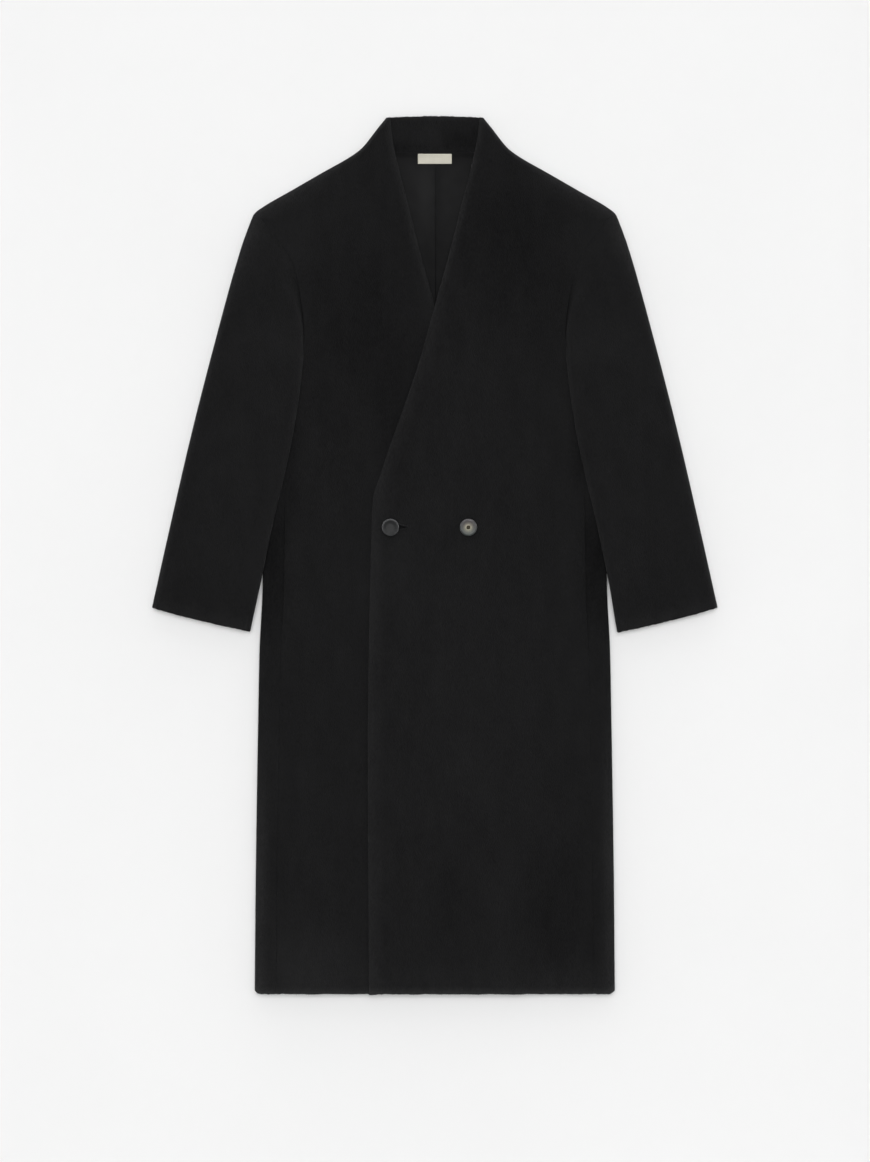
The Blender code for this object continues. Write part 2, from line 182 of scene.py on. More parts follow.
# Cuff: bowed out, a little longer and further in on the wearer's left than on the right, sunk where
# it lies off the body, and with a shorter slope down to there than the rest of the sleeve
CUFF_BOW = 4.5
CUFF_PEAK = 0.8
CUFF_SKEW = 0.7
CUFF_LEAN = 1.6
CUFF_SLOPE = 0.21
CUFF_REACH = 75.0
CUFF_SINK = 2.0
CUFF_INSET = 0.5
CUFF_RAMP = 26.0
RAMP_REACH = 100.0
UPPER_PHASE = 40.0
UNDER_PHASE = 90.0

# Waves that make an edge uneven
Wave = namedtuple("Wave", "share length start")
WAVES = (Wave(0.35, 1.31, 0.4), Wave(0.3, 2.17, 2.1), Wave(0.25, 4.73, 4.0), Wave(0.25, 11.9, 1.3))

# Half-widths at heights along the coat
Edge = namedtuple("Edge", "y x")
SIDE_FOLD = (
    Edge(-636, 260.9), Edge(-471, 259.5), Edge(-239, 255.9), Edge(-140, 254.0), Edge(-43, 249.5),
    Edge(262, 247),
)
FRONT_ARMHOLE = (
    Edge(262, 216), Edge(290, 197), Edge(319, 189.0), Edge(363, 192.9), Edge(413, 203.0),
    Edge(442, 217.5), Edge(468.5, 238.0), Edge(487, 251.5),
)
BACK_ARMHOLE = (
    Edge(262, 243), Edge(290, 221), Edge(325, 207), Edge(370, 204), Edge(420, 211), Edge(455, 226),
    Edge(487, 246),
)
SHOULDER = (
    Edge(487, 266.0), Edge(494.6, 262.1), Edge(503.3, 251.2), Edge(529.4, 206.3), Edge(555.5, 161.0),
    Edge(572.9, 129.9), Edge(581.6, 116.2), Edge(590.3, 105.4), Edge(607.7, 91.5), Edge(618, 84.3),
    Edge(636, 70.4),
)
FRONT_EDGE = (
    Edge(-636, -95.4), Edge(-278, -96.9), Edge(20, -92.2), Edge(80, -89.6), Edge(114, -79.5),
    Edge(165, -62.4), Edge(225, -41.0), Edge(289, -19.7), Edge(370, 2.5), Edge(435, 20.5),
    Edge(500, 36.8), Edge(551, 50.0), Edge(604, 61.5), Edge(636, 64.8),
)

# Sections across a sleeve from its head to its cuff; lap is 0 where the head is sewn to the front
# and 1 where the inner fold lies on the front
Section = namedtuple("Section", "inner_y inner_x outer_y outer_x lap")
SLEEVE = (
    Section(487, 251.5, 490, 264.6, 0), Section(459, 231.0, 457, 277.0, 0),
    Section(435, 213.0, 428, 286.2, 0), Section(410, 202.0, 394, 296.0, 0),
    Section(370, 194.0, 355, 306.6, 0.6), Section(FOLD_START, 189.2, 311, 318.3, 1),
    Section(262, 193.6, 267, 329.9, 1), Section(190, 203.6, 203, 346.2, 1),
    Section(120, 217.6, 137, 362.1, 1), Section(47, 235.0, 71, 377.2, 1),
    Section(-30, 250.8, 0, 393.2, 1), Section(-111.5, 266.8, -72.4, 409.4, 1),
)

# Creases: middle, lean from upright in degrees, length, half-width and height of each ridge or trough;
# on a sleeve they fade towards its inner edge
CREASE_FADE = 20.0
Crease = namedtuple("Crease", "x y lean length width height")
BODY_CREASES = (
    Crease(25, -500, 0, 400, 26, -1.1), Crease(88, -485, 1, 470, 30, 1.2),
    Crease(175, -535, -2, 410, 42, -1.0), Crease(-170, -615, 3, 290, 40, 1.3),
    Crease(-120, -420, 0, 440, 20, -0.7), Crease(-196, -330, -2, 310, 17, 0.5),
    Crease(128, -150, 3, 330, 24, 0.6), Crease(60, -205, -4, 260, 19, -0.5),
    Crease(-150, 120, 6, 260, 28, -0.5), Crease(-96, 330, 14, 220, 30, -0.6),
    Crease(118, 420, -9, 250, 34, -0.7), Crease(165, 190, 7, 210, 26, 0.5),
    Crease(-20, 62, 68, 90, 11, 0.4), Crease(4, 12, 108, 120, 14, -0.35),
)
RIGHT_SLEEVE_CREASES = (
    Crease(-282, 372, -24, 150, 13, 0.9), Crease(-262, 330, -16, 120, 16, -0.6),
    Crease(-300, 205, 48, 120, 15, -0.8), Crease(-318, 160, 58, 130, 13, 0.7),
    Crease(-290, 95, -30, 160, 18, 0.6), Crease(-352, 20, -14, 180, 16, -0.7),
    Crease(-312, -42, 12, 120, 20, 0.5),
)
LEFT_SLEEVE_CREASES = (
    Crease(276, 392, 20, 130, 14, 0.6), Crease(255, 300, 12, 150, 18, -0.5),
    Crease(302, 232, -52, 140, 14, -0.7), Crease(322, 176, -44, 110, 12, 0.8),
    Crease(286, 110, 22, 190, 20, -0.6), Crease(348, 52, 16, 150, 15, 0.7),
    Crease(318, -30, -10, 140, 19, -0.4),
)
LINING_CREASES = (
    Crease(-46, 512, 12, 200, 15, 0.55), Crease(-30, 430, 9, 150, 9, 0.3),
    Crease(40, 520, -10, 190, 16, 0.6), Crease(22, 440, -6, 140, 8, 0.35),
)
BAND_CREASES = (Crease(-20, 612, 8, 60, 14, 0.22), Crease(38, 606, -12, 55, 12, 0.18))
BACK_CREASES = (
    Crease(-140, -380, 4, 420, 30, 0.7), Crease(60, -300, -3, 520, 36, 0.8),
    Crease(170, -60, 6, 300, 26, 0.6), Crease(-70, 60, -8, 340, 30, 0.7), Crease(10, 250, 5, 150, 24, 0.5),
)

# Patches painted lighter or darker: some are painted shade or highlight, as noted; the others are lighter
# and darker places
Patch = namedtuple("Patch", "x y wide long tone")
NAP_TONE_AND_SHADE = (
    # Painted shade along the left front's lapped edge, at (-62, 210)
    Patch(-105, 340, 80, 130, -0.6), Patch(-62, 210, 34, 90, -0.45), Patch(118, 440, 92, 125, -0.65),
    # Painted highlight low on the wearer's right, at (-175, -590)
    Patch(-175, -590, 60, 48, 0.9), Patch(178, -520, 62, 95, -0.48), Patch(25, -510, 20, 75, -0.4),
    Patch(96, -540, 26, 90, 0.3), Patch(-52, -20, 45, 80, 0.35), Patch(60, -250, 60, 130, 0.15),
    # Painted shade beside the sleeves' inner edges and over the pocket strips, at x of 236 and 212 on both
    # sides
    Patch(-236, -10, 22, 95, -0.8), Patch(236, -10, 20, 95, -0.9), Patch(-212, 190, 14, 100, -0.7),
    Patch(212, 190, 14, 100, -0.7), Patch(-215, 460, 50, 40, 0.3), Patch(225, 455, 40, 40, 0.25),
)
# On the satin all are painted light: painted sheen near the top by the pleat, painted shade beside it, lower
# down and at the band's ends
SATIN_PAINTED_SHEEN_AND_SHADE = (
    Patch(-14, 530, 11, 42, 1.6), Patch(-34, 556, 12, 14, 0.6), Patch(22, 530, 11, 45, 0.4),
    Patch(4, 520, 4, 60, -0.6), Patch(0, 430, 40, 45, -0.8), Patch(0, 375, 30, 25, -0.7),
    Patch(-60, 584, 40, 14, -0.9), Patch(60, 580, 45, 16, -0.9),
)
BAND_PATCHES = (Patch(40, 602, 34, 18, -0.8), Patch(-2, 610, 12, 18, 0.5), Patch(-50, 590, 40, 8, -0.5))

# Turned face of a button: radius, and depth below its top; its steps and its sewing holes
Turn = namedtuple("Turn", "radius below")
BUTTON_FACE = (
    Turn(0, 1.4), Turn(5.0, 1.4), Turn(7.6, 0.9), Turn(9.0, 0.2), Turn(10.6, 0), Turn(12.0, 0.6),
    Turn(BUTTON_RADIUS, 2.0), Turn(11.4, 3.9), Turn(8.0, 4.5), Turn(0, 4.5),
)
BUTTON_STEPS = 96
DISH_PITCH = 0.25
SOFTENINGS = 3
HOLE_OFFSET = 2.0
HOLE_RADIUS = 0.85
HOLE_DEPTH = 1.3
HOLE_WALL = 0.6
HOLE_RINGS = 4

# Spacing of the points along cloth, and across it: two fine spans at its sides, even steps between
ROUNDING = np.array((0, 0.076, 0.29, 0.62, 1.0))
SKIRT_PITCH = 5.0
ARMHOLE_PITCH = 4.0
SHOULDER_PITCH = 2.4
TIP_PITCH = 0.8
SLIT_ROOM = 9.0
SLIT_PITCH = 1.8
SLIT_SIDE_ROWS = 5
BAND_PITCH = 3.0
LINING_PITCH = 4.0
LABEL_PITCH = 1.0
SHOULDER_LINE_PITCH = 4.0
SLEEVE_LINE_PITCH = 6.0
NEAR_SHARE = 0.45
FAR_SHARE = 0.35
Across = namedtuple("Across", "near far pitch count")
FRONT_ACROSS = Across(60, 26, 3, 34)
STRIP_ACROSS = Across(4, 4, 1, 4)
UPPER_ACROSS = Across(30, 16, 2, 20)
UNDER_ACROSS = Across(8, 8, 2, 28)
BAND_ACROSS = Across(4, 4, 1, 40)
ROLL_POINTS = 12
UNDER_ROLL_POINTS = 7
BACK_POINTS = 33
LINING_LEFT_POINTS = 15
LINING_RIGHT_POINTS = 17

# Painted sheen: wool colour painted lighter along rounded edges, how much at most, how far in, and where
# that fades out
PaintedEdgeLight = namedtuple("PaintedEdgeLight", "share reach")
NECK_PAINTED_SHEEN = PaintedEdgeLight(0.36, 12.0)
EDGE_PAINTED_SHEEN = PaintedEdgeLight(0.16, 7.0)
STRIP_PAINTED_SHEEN = PaintedEdgeLight(0.27, 27.0)
HEM_PAINTED_SHEEN = PaintedEdgeLight(0.95, 10.0)
# A broad strip above the hem is painted lighter as well
HEM_STRIP_PAINTED_LIGHTER = PaintedEdgeLight(0.18, 60.0)
RIM_PAINTED_SHEEN = PaintedEdgeLight(0.47, 7.0)
SHOULDER_PAINTED_SHEEN = PaintedEdgeLight(0.38, 32.0)
SIDE_PAINTED_SHEEN = PaintedEdgeLight(0.55, 24.0)
CUFF_PAINTED_SHEEN = PaintedEdgeLight(0.25, 24.0)
FOLD_PAINTED_SHEEN = PaintedEdgeLight(0.1, 8.0)
SIDE_SHEEN_TOP = -200.0
SIDE_SHEEN_REACH = 220.0
SHOULDER_SHEEN_START = 110.0
SHOULDER_SHEEN_REACH = 90.0
HEAD_SHEEN_LOW = 330.0
HEAD_SHEEN_REACH = 120.0

# Loose hairs: spacing, sizes, how deep they root and how much they differ; each ring has its share
# of the way along a hair and its share of the thickness
HAIR_SEED = 11
HAIR_SPACING = 0.8
HAIR_LENGTH = 2.6
HAIR_SHORTEST = 0.35
HAIR_POWER = 1.5
HAIR_RADIUS = 0.1
HAIR_RADII = (0.7, 1.3)
HAIR_SIDES = 3
HAIR_RINGS = ((0.0, 1.0), (0.55, 0.7))
HAIR_ROOT = 0.75
HAIR_SCATTER = 0.2
HAIR_LEAN = 0.55
HAIR_BEND = 0.4
HAIR_FLOOR = 0.05
SIDE_HAIR_WAY = np.array((1.0, 0, 0.3))

# Threads: the pairs of a path are a way along the stitch and a height above the cloth
TUBE_SIDES = 6
OBLIQUE = np.array((0.31, 0.22, 0.925))
THREAD_RADIUS = 0.26
STITCH_PITCH = 0.62
STITCH_UNEVEN = 0.12
STITCH_WAVES = 9
STITCH_PATH = ((-0.1, -1.0), (-0.15, -0.2), (0.15, 0.12), (0.9, 0.2), (1.8, 0.16), (2.3, -0.05), (2.4, -0.4))
BAR_STITCHES = 4
BAR_PATH = ((-1.9, -0.4), (-1.7, 0.05), (-0.9, 0.2), (0, 0.25), (0.9, 0.2), (1.7, 0.05), (1.9, -0.4))
LABEL_MARGIN = 1.3
LABEL_TRIM = 2.2
LABEL_STITCHES = 5
LABEL_PATH = ((0, -0.3), (0.15, 0.05), (0.8, 0.12), (1.6, 0.05), (1.75, -0.3))
SHANK_RADIUS = 1.4
SHANK_POINTS = 9

# Crossed strands through the outer button: how many in each lay, half the lay's width, how deep they
# start and how far they rise, and how the lay narrows, sags at its sides and passes over the other
STRANDS = 9
STRANDS_HALF = 1.4
STRAND_POINTS = 11
STRAND_START = 0.7
STRAND_RISE = 1.1
STRAND_FULL = 1.15
STRANDS_NARROW = 0.3
STRANDS_SAG = 0.12
STRANDS_OVER = 0.25

# Colours, as light that each returns: a dark and a light one, or a button's from its middle outwards
WOOL_DARK = (0.005, 0.005, 0.0052, 1)
WOOL_LIGHT = (0.0158, 0.0158, 0.0162, 1)
# Lighter wool colour for the painted sheen along rounded edges
WOOL_PAINTED_SHEEN = (0.034, 0.034, 0.0345, 1)
WOOL_SHEEN = 0.05
SATIN_COLOURS = ((0.0035, 0.0035, 0.0037, 1), (0.012, 0.012, 0.0124, 1))
TAPE_COLOURS = ((0.44, 0.42, 0.355, 1), (0.64, 0.62, 0.535, 1))
BLACK_THREAD = ((0.006, 0.006, 0.006, 1), (0.016, 0.016, 0.017, 1))
OLIVE_THREAD = ((0.035, 0.03, 0.02, 1), (0.08, 0.07, 0.05, 1))
CREAM_THREAD = ((0.4, 0.38, 0.31, 1), (0.55, 0.53, 0.45, 1))
DARK_COLOURS = (
    (0.0, (0.0125, 0.013, 0.0135)), (0.82, (0.0115, 0.012, 0.0125)), (0.92, (0.05, 0.051, 0.053)),
    (1.0, (0.018, 0.019, 0.02)),
)
HORN_COLOURS = (
    (0.0, (0.09, 0.08, 0.045)), (0.14, (0.11, 0.095, 0.055)), (0.25, (0.36, 0.325, 0.235)),
    (0.4, (0.19, 0.175, 0.137)), (0.62, (0.088, 0.084, 0.077)), (0.85, (0.054, 0.054, 0.053)),
    (1.0, (0.035, 0.036, 0.036)),
)
HORN_TINTS = ((0.86, 1.0, 0.97, 1), (1.05, 0.97, 1.04, 1))
PLAIN_TINTS = ((1, 1, 1, 1), (1, 1, 1, 1))
STREAK_SHARE = 0.3
SCRATCH_SHARE = 0.4
FLOOR_COLOURS = ((0.8, 0.8, 0.8, 1), (0.83, 0.83, 0.83, 1))

# Nap: how the fibres turn from Y, how far they and the broad patches are drawn out, contrast, depth
# and the share of each layer
FIBRE_TURNS = (0.35, -0.5)
FIBRE_DRAW = 5.0
PATCH_DRAW = 2.5
NAP_CONTRAST = 3.0
NAP_DEPTH = 0.6
FIBRE_SHARE = 0.35
FUZZ_SHARE = 0.3
BROAD_SHARE = 0.4
# Share of the patches of painted shade and tone in the colour
PATCH_SHADE_SHARE = 0.35

# Woven finishes: share of their unevenness; scales of warp and weft, roughness in the hollows and on
# the ribs, strength and depth of the bump, and shine of each
UNEVEN_SHARE = 0.6
Weave = namedtuple("Weave", "warp weft rough strength depth shine")
SATIN = Weave(900.0, 320.0, (0.36, 0.5), 0.15, 0.1, 0.04)
TAPE = Weave(560.0, 390.0, (0.95, 0.75), 0.4, 0.2, 0.1)
THREAD = Weave(1500.0, 1100.0, (0.8, 0.6), 0.4, 0.1, 0.1)

# Floor and light
FLOOR_SIZE = 30000.0
FLOOR_GAP = 0.3
WORLD_STRENGTH = 0.47
HORIZON_GAIN = 52.0
HORIZON_HEIGHT = 0.08
LAMP_STRENGTH = 1.66
LAMP_WIDTH = 60.0
LAMP_TILT = 15.0

# Camera: the photograph looks straight down, and its frame is this high and centred here
VIEW_HEIGHT = 1685.0
VIEW_CENTRE = (0.3, -37.6)
CAMERA_ABOVE = 6000.0
CAMERA_REACH = 100000.0
SENSOR = 36.0

chance = np.random.default_rng(HAIR_SEED)


# Curves and steps

def smooth(known, values, wanted):
    """Cubic through the known rows, with its slopes limited so that it never overshoots."""
    known = np.asarray(known, dtype=float)
    values = np.asarray(values, dtype=float)
    chord = np.diff(values) / np.diff(known)
    before, after = chord[:-1], chord[1:]
    product = np.maximum(before * after, 0)
    total = np.where(product > 0, before + after, 1.0)
    slope = np.concatenate((chord[:1], 2 * product / total, chord[-1:]))
    wanted = np.clip(wanted, known[0], known[-1])
    row = np.clip(np.searchsorted(known, wanted, side="right") - 1, 0, len(chord) - 1)
    span = known[row + 1] - known[row]
    part = (wanted - known[row]) / span
    return (
        values[row] * (1 + 2 * part) * (1 - part) ** 2
        + values[row + 1] * part ** 2 * (3 - 2 * part)
        + slope[row] * span * part * (1 - part) ** 2
        - slope[row + 1] * span * part ** 2 * (1 - part)
    )


def half_width(edges, y):
    """Half-width of one edge table at heights y."""
    return smooth([edge.y for edge in edges], [edge.x for edge in edges], y)


def sleeve_column(name, inner_y):
    """One column of the sleeve's sections, read at heights on its inner edge."""
    rows = SLEEVE[::-1]
    return smooth([row.inner_y for row in rows], [getattr(row, name) for row in rows], inner_y)


def ease(part):
    """Smooth step from 0 to 1."""
    part = np.clip(part, 0, 1)
    return part * part * (3 - 2 * part)


def rounded(part):
    """Height of a quarter-round, from 0 at its rim to 1 where it ends."""
    return np.sqrt(1 - (1 - np.clip(part, 0, 1)) ** 2)


def fading(way, width):
    """From 1 at an edge to 0 at one width from it."""
    return 1 - ease(way / width)


def painted_light_at(way, painted):
    """Painted sheen: colour painted lighter at some way from an edge."""
    return painted.share * fading(way, painted.reach)


def unit(vectors):
    """Vectors of length one."""
    return vectors / np.maximum(np.linalg.norm(vectors, axis=-1, keepdims=True), 1e-9)


def uneven(along):
    """Irregular wave between about -1 and 1: sines whose lengths share no common multiple."""
    return sum(wave.share * np.sin(along / wave.length + wave.start) for wave in WAVES)


def steps(low, high, pitch):
    """Even steps of about one pitch, with both ends."""
    return np.linspace(low, high, max(int(round((high - low) / pitch)), 1) + 1)


def creased(table, x, y):
    """Sum of soft ridges and troughs: a bell across each, eased off towards both its ends."""
    height = np.zeros(np.broadcast(x, y).shape)
    for crease in table:
        lean = np.radians(crease.lean)
        along = (y - crease.y) * np.cos(lean) + (x - crease.x) * np.sin(lean)
        across = (x - crease.x) * np.cos(lean) - (y - crease.y) * np.sin(lean)
        bell = np.exp(-(across / crease.width) ** 2)
        height += crease.height * bell * ease(1 - np.abs(along) / (crease.length / 2))
    return height


def patchy(table, x, y):
    """Sum of the patches that look lighter or darker, each a bell in both directions."""
    tone = np.zeros(np.broadcast(x, y).shape)
    for patch in table:
        tone += patch.tone * np.exp(-((x - patch.x) / patch.wide) ** 2 - ((y - patch.y) / patch.long) ** 2)
    return tone


# Outlines of the pieces

def near_tip(y):
    """From 0 down the armhole to 1 at the shoulder tip, where the seam bends over the edge."""
    return ease((y - SHOULDER_TIP + TIP_REACH) / TIP_REACH)


def shoulder_stretch(y):
    """Length along X of one unit measured square to the shoulder line."""
    step = 0.5
    slope = (half_width(SHOULDER, y + step) - half_width(SHOULDER, y - step)) / (2 * step)
    return np.sqrt(1 + slope ** 2)


def roll_radius(y):
    """Radius of the rolled outer edge: full on shoulder and sleeve, small on the collar."""
    return SHOULDER_ROLL + (COLLAR_ROLL - SHOULDER_ROLL) * ease((y - COLLAR_START) / COLLAR_REACH)


SHOULDER_LINE = steps(SHOULDER_TIP + TIP_JOG, TOP, SHOULDER_LINE_PITCH)[::-1]
SLEEVE_LINE = steps(SLEEVE[-1].inner_y, SHOULDER_TIP, SLEEVE_LINE_PITCH)[::-1]
OUTLINE = np.concatenate((
    np.stack((half_width(SHOULDER, SHOULDER_LINE), SHOULDER_LINE), axis=1),
    np.stack((sleeve_column("outer_x", SLEEVE_LINE), sleeve_column("outer_y", SLEEVE_LINE)), axis=1),
))


def outline_distance(x, y):
    """Shortest way from each point to the coat's shoulder and outer sleeve line."""
    start = OUTLINE[:-1]
    run = OUTLINE[1:] - start
    off_x = x[..., None] - start[:, 0]
    off_y = y[..., None] - start[:, 1]
    along = np.clip((off_x * run[:, 0] + off_y * run[:, 1]) / (run ** 2).sum(axis=1), 0, 1)
    return np.hypot(off_x - along * run[:, 0], off_y - along * run[:, 1]).min(axis=-1)


def outer_roll(x, y):
    """How far each point has climbed from the rolled outer edge: 0 at the rim, 1 past the roll."""
    return rounded((outline_distance(x, y) - WALL / 2) / roll_radius(y))


def body_distance(x, y):
    """How far each point lies outside the body's side fold and above its underarm."""
    return np.hypot(np.maximum(x - half_width(SIDE_FOLD, y), 0), np.maximum(y - UNDERARM, 0))


def lifted(x, y, from_cuff, times):
    """How fully a sleeve lies up on the body: 1 on it, 0 where it has come down off its side.

    The slope is so many times the body's ramp long, and shorter near the cuff.
    """
    near = fading(from_cuff, RAMP_REACH)
    margin = BODY_MARGIN * (1 - near)
    ramp = times * BODY_RAMP + (CUFF_RAMP - times * BODY_RAMP) * near
    return ease(1 - (body_distance(x, y) - margin) / ramp)


def side_seam(y):
    """Half-width of the side seam."""
    return half_width(SIDE_FOLD, y) - SEAM_INSET


def pocket_part(y):
    """How open the pocket mouth is: 0 at its ends, 1 in its middle."""
    part = (y - POCKET_LOW) / (POCKET_HIGH - POCKET_LOW)
    return np.sin(pi * np.clip(part, 0, 1)) ** 2


def pocket_step(y):
    """How far the front's lip and the back's strip part in height at the pocket, from 0 to 1."""
    return ease(2 * pocket_part(y))


def front_outer(y):
    """Outer edge of a front's middle: side seam, armhole, a short jog at the tip, shoulder and collar."""
    tip = SHOULDER_TIP + TIP_JOG
    above = np.maximum(y, tip)
    shoulder = half_width(SHOULDER, above) - WALL / 2 * shoulder_stretch(above)
    sewn = np.where(y < UNDERARM, side_seam(y), half_width(FRONT_ARMHOLE, y))
    jog = np.clip((y - SHOULDER_TIP) / TIP_JOG, 0, 1)
    return sewn + (shoulder - sewn) * jog


def back_outer(y):
    """Outer edge of the back where it lies on the surface: armhole, then inside the rolled shoulder."""
    tip = SHOULDER_TIP + TIP_JOG
    above = np.maximum(y, tip)
    shoulder = half_width(SHOULDER, above) - ROLLED_INSET * shoulder_stretch(above)
    jog = np.clip((y - SHOULDER_TIP) / TIP_JOG, 0, 1)
    return half_width(BACK_ARMHOLE, y) * (1 - jog) + shoulder * jog


def hem_shift(x, y):
    """Rise of the cloth at the hem: rounded corners at the side folds and a slightly uneven edge."""
    over = np.clip(np.abs(x) - half_width(SIDE_FOLD, HEM) + HEM_CORNER, 0, HEM_CORNER)
    rise = HEM_CORNER - np.sqrt(HEM_CORNER ** 2 - over ** 2) + HEM_UNEVEN * uneven(x)
    return rise * ease(1 - (y - HEM) / HEM_REACH)


def cuff_shift(side, across, from_cuff):
    """Ways along X and Y that the cuff's line moves, eased off up the sleeve; across is 1 outside.

    The line bows out as a sine that peaks towards its outer end. The inner corner also moves a little,
    to the wearer's right on both sleeves, and makes the left cuff longer than the right one.
    """
    near = fading(from_cuff, CUFF_REACH)
    out = CUFF_BOW * np.sin(pi / 2 * across / CUFF_PEAK) + side * CUFF_SKEW * (1 - across)
    return (CUFF_SLOPE * out - side * CUFF_LEAN * (1 - across)) * near, -out * near


def collar_shift(x, y):
    """Drop of the cloth near the collar's top edge, growing with the square of the way from its middle."""
    return -COLLAR_BOW * np.clip(x / COLLAR_HALF, -1, 1) ** 2 * fading(TOP - y, COLLAR_REACH)


def front_level(side, x, y):
    """Height of a front's middle before its outer edge rolls down; x is positive on its own side.

    Creases, the swelling along the front edge and the pocket's lip add up. The left front lies on the
    right front where they overlap, and comes down past its hidden edge.
    """
    fade = ease((side_seam(y) - np.abs(x)) / FOLD_FADE)
    from_edge = x - half_width(FRONT_EDGE, y)
    puff = EDGE_PUFF * np.exp(-((from_edge - PUFF_PEAK) / PUFF_WIDTH) ** 2) * ease((TOP - y) / COLLAR_REACH)
    lip = POCKET_LIP * pocket_step(y) * np.exp(-((side_seam(y) - x) / LIP_WIDTH) ** 2)
    level = FRONT_MID + creased(BODY_CREASES, side * x, y) * fade + lip
    if side > 0:
        past_hidden_edge = x + half_width(FRONT_EDGE, y) - LAP_MARGIN
        return level + puff + LAP_LIFT * ease(1 - past_hidden_edge / LAP_RAMP)
    return level + puff * ease((y - NECK_POINT) / NECK_FADE)


# Closed walls of cloth

def from_ends(grid, axis):
    """Way from each point to the first and to the last line of a grid, measured along the cloth."""
    along = np.cumsum(np.linalg.norm(np.diff(grid, axis=axis), axis=2), axis=axis)
    along = np.insert(along, 0, 0, axis=axis)
    return along, np.take(along, [-1], axis=axis) - along


def quads(number):
    """Four-cornered faces of a grid of point numbers."""
    around = number[:-1, :-1], number[:-1, 1:], number[1:, 1:], number[1:, :-1]
    return np.stack(around, axis=-1).reshape(-1, 4)


def grid_normal(grid):
    """Unit normals of a grid: the cross product of its two directions at each point."""
    normal = np.cross(np.gradient(grid, axis=1), np.gradient(grid, axis=0))
    return normal / np.linalg.norm(normal, axis=2, keepdims=True)


def add_mesh(name, points, faces, material, attributes=None):
    """New piece that rides on the coat, from points in millimetres and arrays of faces."""
    sizes = np.concatenate([np.full(len(group), group.shape[1]) for group in faces])
    corner = np.concatenate([group.ravel() for group in faces])
    mesh = bpy.data.meshes.new(name)
    mesh.vertices.add(len(points))
    mesh.vertices.foreach_set("co", (points * MM).ravel())
    mesh.loops.add(len(corner))
    mesh.loops.foreach_set("vertex_index", corner)
    mesh.polygons.add(len(sizes))
    mesh.polygons.foreach_set("loop_start", np.cumsum(sizes) - sizes)
    mesh.update(calc_edges=True)
    mesh.shade_smooth()
    mesh.materials.append(material)
    for title, values in (attributes or {}).items():
        mesh.attributes.new(title, "FLOAT", "POINT").data.foreach_set("value", values.astype(np.float32))
    piece = bpy.data.objects.new(name, mesh)
    bpy.context.collection.objects.link(piece)
    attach(piece, "root")
    return piece


def slit_walls(top, bottom, row, columns):
    """Walls of a slit between two rows of a closed wall of cloth, from its upper to its lower face."""
    first, last = columns[0], columns[-1]
    near = np.stack((top[row, first:last], top[row, first + 1:last + 1],
                     bottom[row, first + 1:last + 1], bottom[row, first:last]), axis=1)
    far = np.stack((top[row + 1, first + 1:last + 1], top[row + 1, first:last],
                    bottom[row + 1, first:last], bottom[row + 1, first + 1:last + 1]), axis=1)
    start = np.array([[top[row + 1, first], top[row, first], bottom[row, first], bottom[row + 1, first]]])
    end = np.array([[top[row, last], top[row + 1, last], bottom[row + 1, last], bottom[row, last]]])
    return np.concatenate((near, far, start, end))


def add_cloth(
    node, grid, wall, finish, rounds, side=1, tone=None, painted_sheen=None, slit=None, hair_lines=(),
):
    """Closed wall of cloth in place of a node, mirrored on the wearer's right (side -1).

    Each point of the middle moves out along its normal by half the wall to both faces. The half wall
    falls to nothing in a quarter-round at the four sides, whose radii are given in rounds as first
    row, last row, first column and last column, and both faces share the points there. Loose hairs
    grow along the hair lines.
    """
    material, slot = finish
    rows, columns = grid.shape[:2]
    tone, painted_sheen = [np.zeros((rows, columns)) if value is None else value for value in (tone, painted_sheen)]
    if side < 0:
        turn = np.array((-1, 1, 1))
        grid = (grid * turn)[:, ::-1]
        tone, painted_sheen = tone[:, ::-1], painted_sheen[:, ::-1]
        rounds = (*rounds[:2], rounds[3], rounds[2])
        hair_lines = [(points * turn, outward * turn) for points, outward in hair_lines]
    normal = grid_normal(grid)
    low, high = from_ends(grid, 0)
    first, last = from_ends(grid, 1)
    ways = low, high, first, last
    half = wall / 2 * np.prod([rounded(way / radius) for way, radius in zip(ways, rounds)], axis=0)
    upper = grid + normal * half[..., None]
    lower = grid - normal * half[..., None]
    top = np.arange(rows * columns).reshape(rows, columns)
    bottom = top.copy()
    bottom[1:-1, 1:-1] = rows * columns + np.arange((rows - 2) * (columns - 2)).reshape(rows - 2, -1)
    faces = [quads(top), quads(bottom)[:, ::-1]]
    if slit:
        row, chosen = slit
        gone = row * (columns - 1) + chosen[:-1]
        faces = [np.delete(group, gone, axis=0) for group in faces]
        faces.append(slit_walls(top, bottom, row, chosen))
    inner = (slice(1, -1), slice(1, -1))
    points = np.concatenate((upper.reshape(-1, 3), lower[inner].reshape(-1, 3)))
    # Each point carries its patch of painted shade and tone, and its painted sheen
    attributes = {
        "patch_tone_and_shade": np.concatenate((tone.ravel(), tone[inner].ravel())),
        "painted_edge_sheen": np.concatenate((painted_sheen.ravel(), painted_sheen[inner].ravel())),
    }
    piece = add_mesh(f"{node}_cloth", points, faces, material, attributes)
    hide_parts(node)
    hairs = [add_hairs(node, hair_lines, material)] if hair_lines else []


def edge_first(low, high, pitch):
    """Steps of about one pitch between two free edges, close together where the edges are rounded."""
    near = FREE_ROUND * ROUNDING
    between = steps(low + FREE_ROUND, high - FREE_ROUND, pitch)[1:-1]
    return np.concatenate((low + near, between, high - near[::-1]))


# Loose hairs, tubes and turned shapes

def edge_line(grid, side):
    """Points along one side of a grid, and the ways that lead out of the cloth there."""
    if side in ("first row", "last row"):
        grid = grid.swapaxes(0, 1)
    if side in ("last row", "last column"):
        grid = grid[:, ::-1]
    return grid[:, 0], grid[:, 0] - grid[:, len(ROUNDING) - 1]


